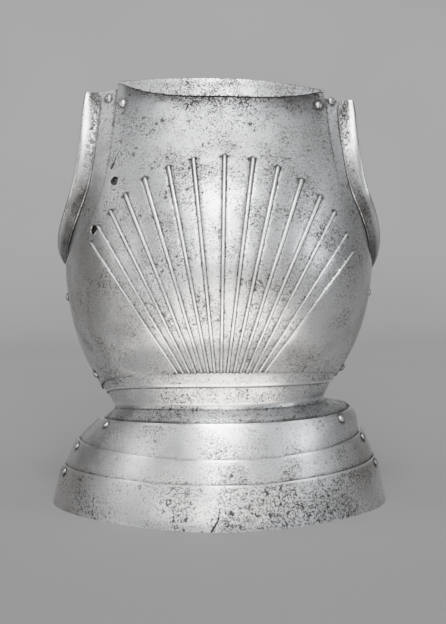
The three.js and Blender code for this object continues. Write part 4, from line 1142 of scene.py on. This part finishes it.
def stage():
    """A pale floor that curves up into the backdrop, with painted shade darker towards the front."""
    profile = [(FLOOR_FRONT, 0.0), (BEND_START, 0.0)]
    for k in range(1, 13):
        turn = math.radians(90 * k / 12)
        profile.append((BEND_START + BEND_RADIUS * math.sin(turn),
                        BEND_RADIUS - BEND_RADIUS * math.cos(turn)))
    profile.append((BEND_START + BEND_RADIUS, BACKDROP_TOP))
    points = [(x, y, z) for x in (-STAGE_HALF, STAGE_HALF) for y, z in profile]
    n = len(profile)
    faces = [(k, n + k, n + k + 1, k + 1) for k in range(n - 1)]
    mesh = bpy.data.meshes.new("floor_sheet")
    mesh.from_pydata(points, [], faces)
    mesh.polygons.foreach_set("use_smooth", [True] * len(mesh.polygons))
    material = bpy.data.materials.new("floor_paper")
    material.use_nodes = True
    t = Tree(material.node_tree)
    shader = next(x for x in t.nodes if x.type == "BSDF_PRINCIPLED")
    where = t.add("ShaderNodeTexCoord").outputs["Object"]
    depth = t.add("ShaderNodeSeparateXYZ", {"Vector": where}).outputs[1]
    paper = t.mix(t.ramp(t.noise(where, 1.5, 2.0), 0.3, 0.7), (0.50, 0.498, 0.495), (0.53, 0.528, 0.525))
    # Painted shade: the paper grows darker towards the front
    shaded = t.mix(t.ramp(depth, -0.6, 2.6, 1.0, 0.0), paper, (0.15, 0.148, 0.149))
    t.set(shader.inputs["Base Color"], shaded)
    shader.inputs["Roughness"].default_value = 0.9
    mesh.materials.append(material)
    obj = bpy.data.objects.new("floor", mesh)
    bpy.context.scene.collection.objects.link(obj)


stage()

# name, place, target, width, height, watts, colour
LAMPS = [
    ("front_panel", (-0.05, -2.6, 1.20), (0, 0, 0.3), 1.05, 1.5, 70, (1, 1, 1)),
    ("upper_panel", (-0.05, -1.5, 2.3), (0, 0, 0.2), 0.9, 1.1, 76, (1, 1, 1)),
    ("table_panel", (0.0, -0.60, 0.004), (0, -0.60, 1.0), 0.42, 0.96, 9.5, (1.0, 0.945, 0.87)),
    ("left_panel", (-2.3, -1.0, 1.0), (0, 0, 0.25), 0.35, 1.8, 13, (1.0, 0.97, 0.94)),
    ("right_panel", (2.3, -1.2, 1.0), (0, 0, 0.25), 0.5, 1.8, 20, (0.90, 0.955, 1.0)),
    ("top_panel", (0.0, -0.1, 2.6), (0, 0, 0.3), 1.4, 0.8, 14, (1, 1, 1)),
]
for name, stand, target, width, height, watts, color in LAMPS:
    data = bpy.data.lights.new(name, "AREA")
    data.shape = "RECTANGLE"
    data.size, data.size_y = width, height
    data.energy, data.color = watts, color
    panel = bpy.data.objects.new(name, data)
    panel.location = stand
    panel.rotation_euler = (Vector(target) - Vector(stand)).to_track_quat("-Z", "Y").to_euler()
    panel.visible_camera = False
    bpy.context.scene.collection.objects.link(panel)

world = bpy.data.worlds.new("studio")
bpy.context.scene.world = world
world.use_nodes = True
background = next(n for n in world.node_tree.nodes if n.type == "BACKGROUND")
background.inputs["Color"].default_value = (0.40, 0.405, 0.41, 1)
background.inputs["Strength"].default_value = 0.52
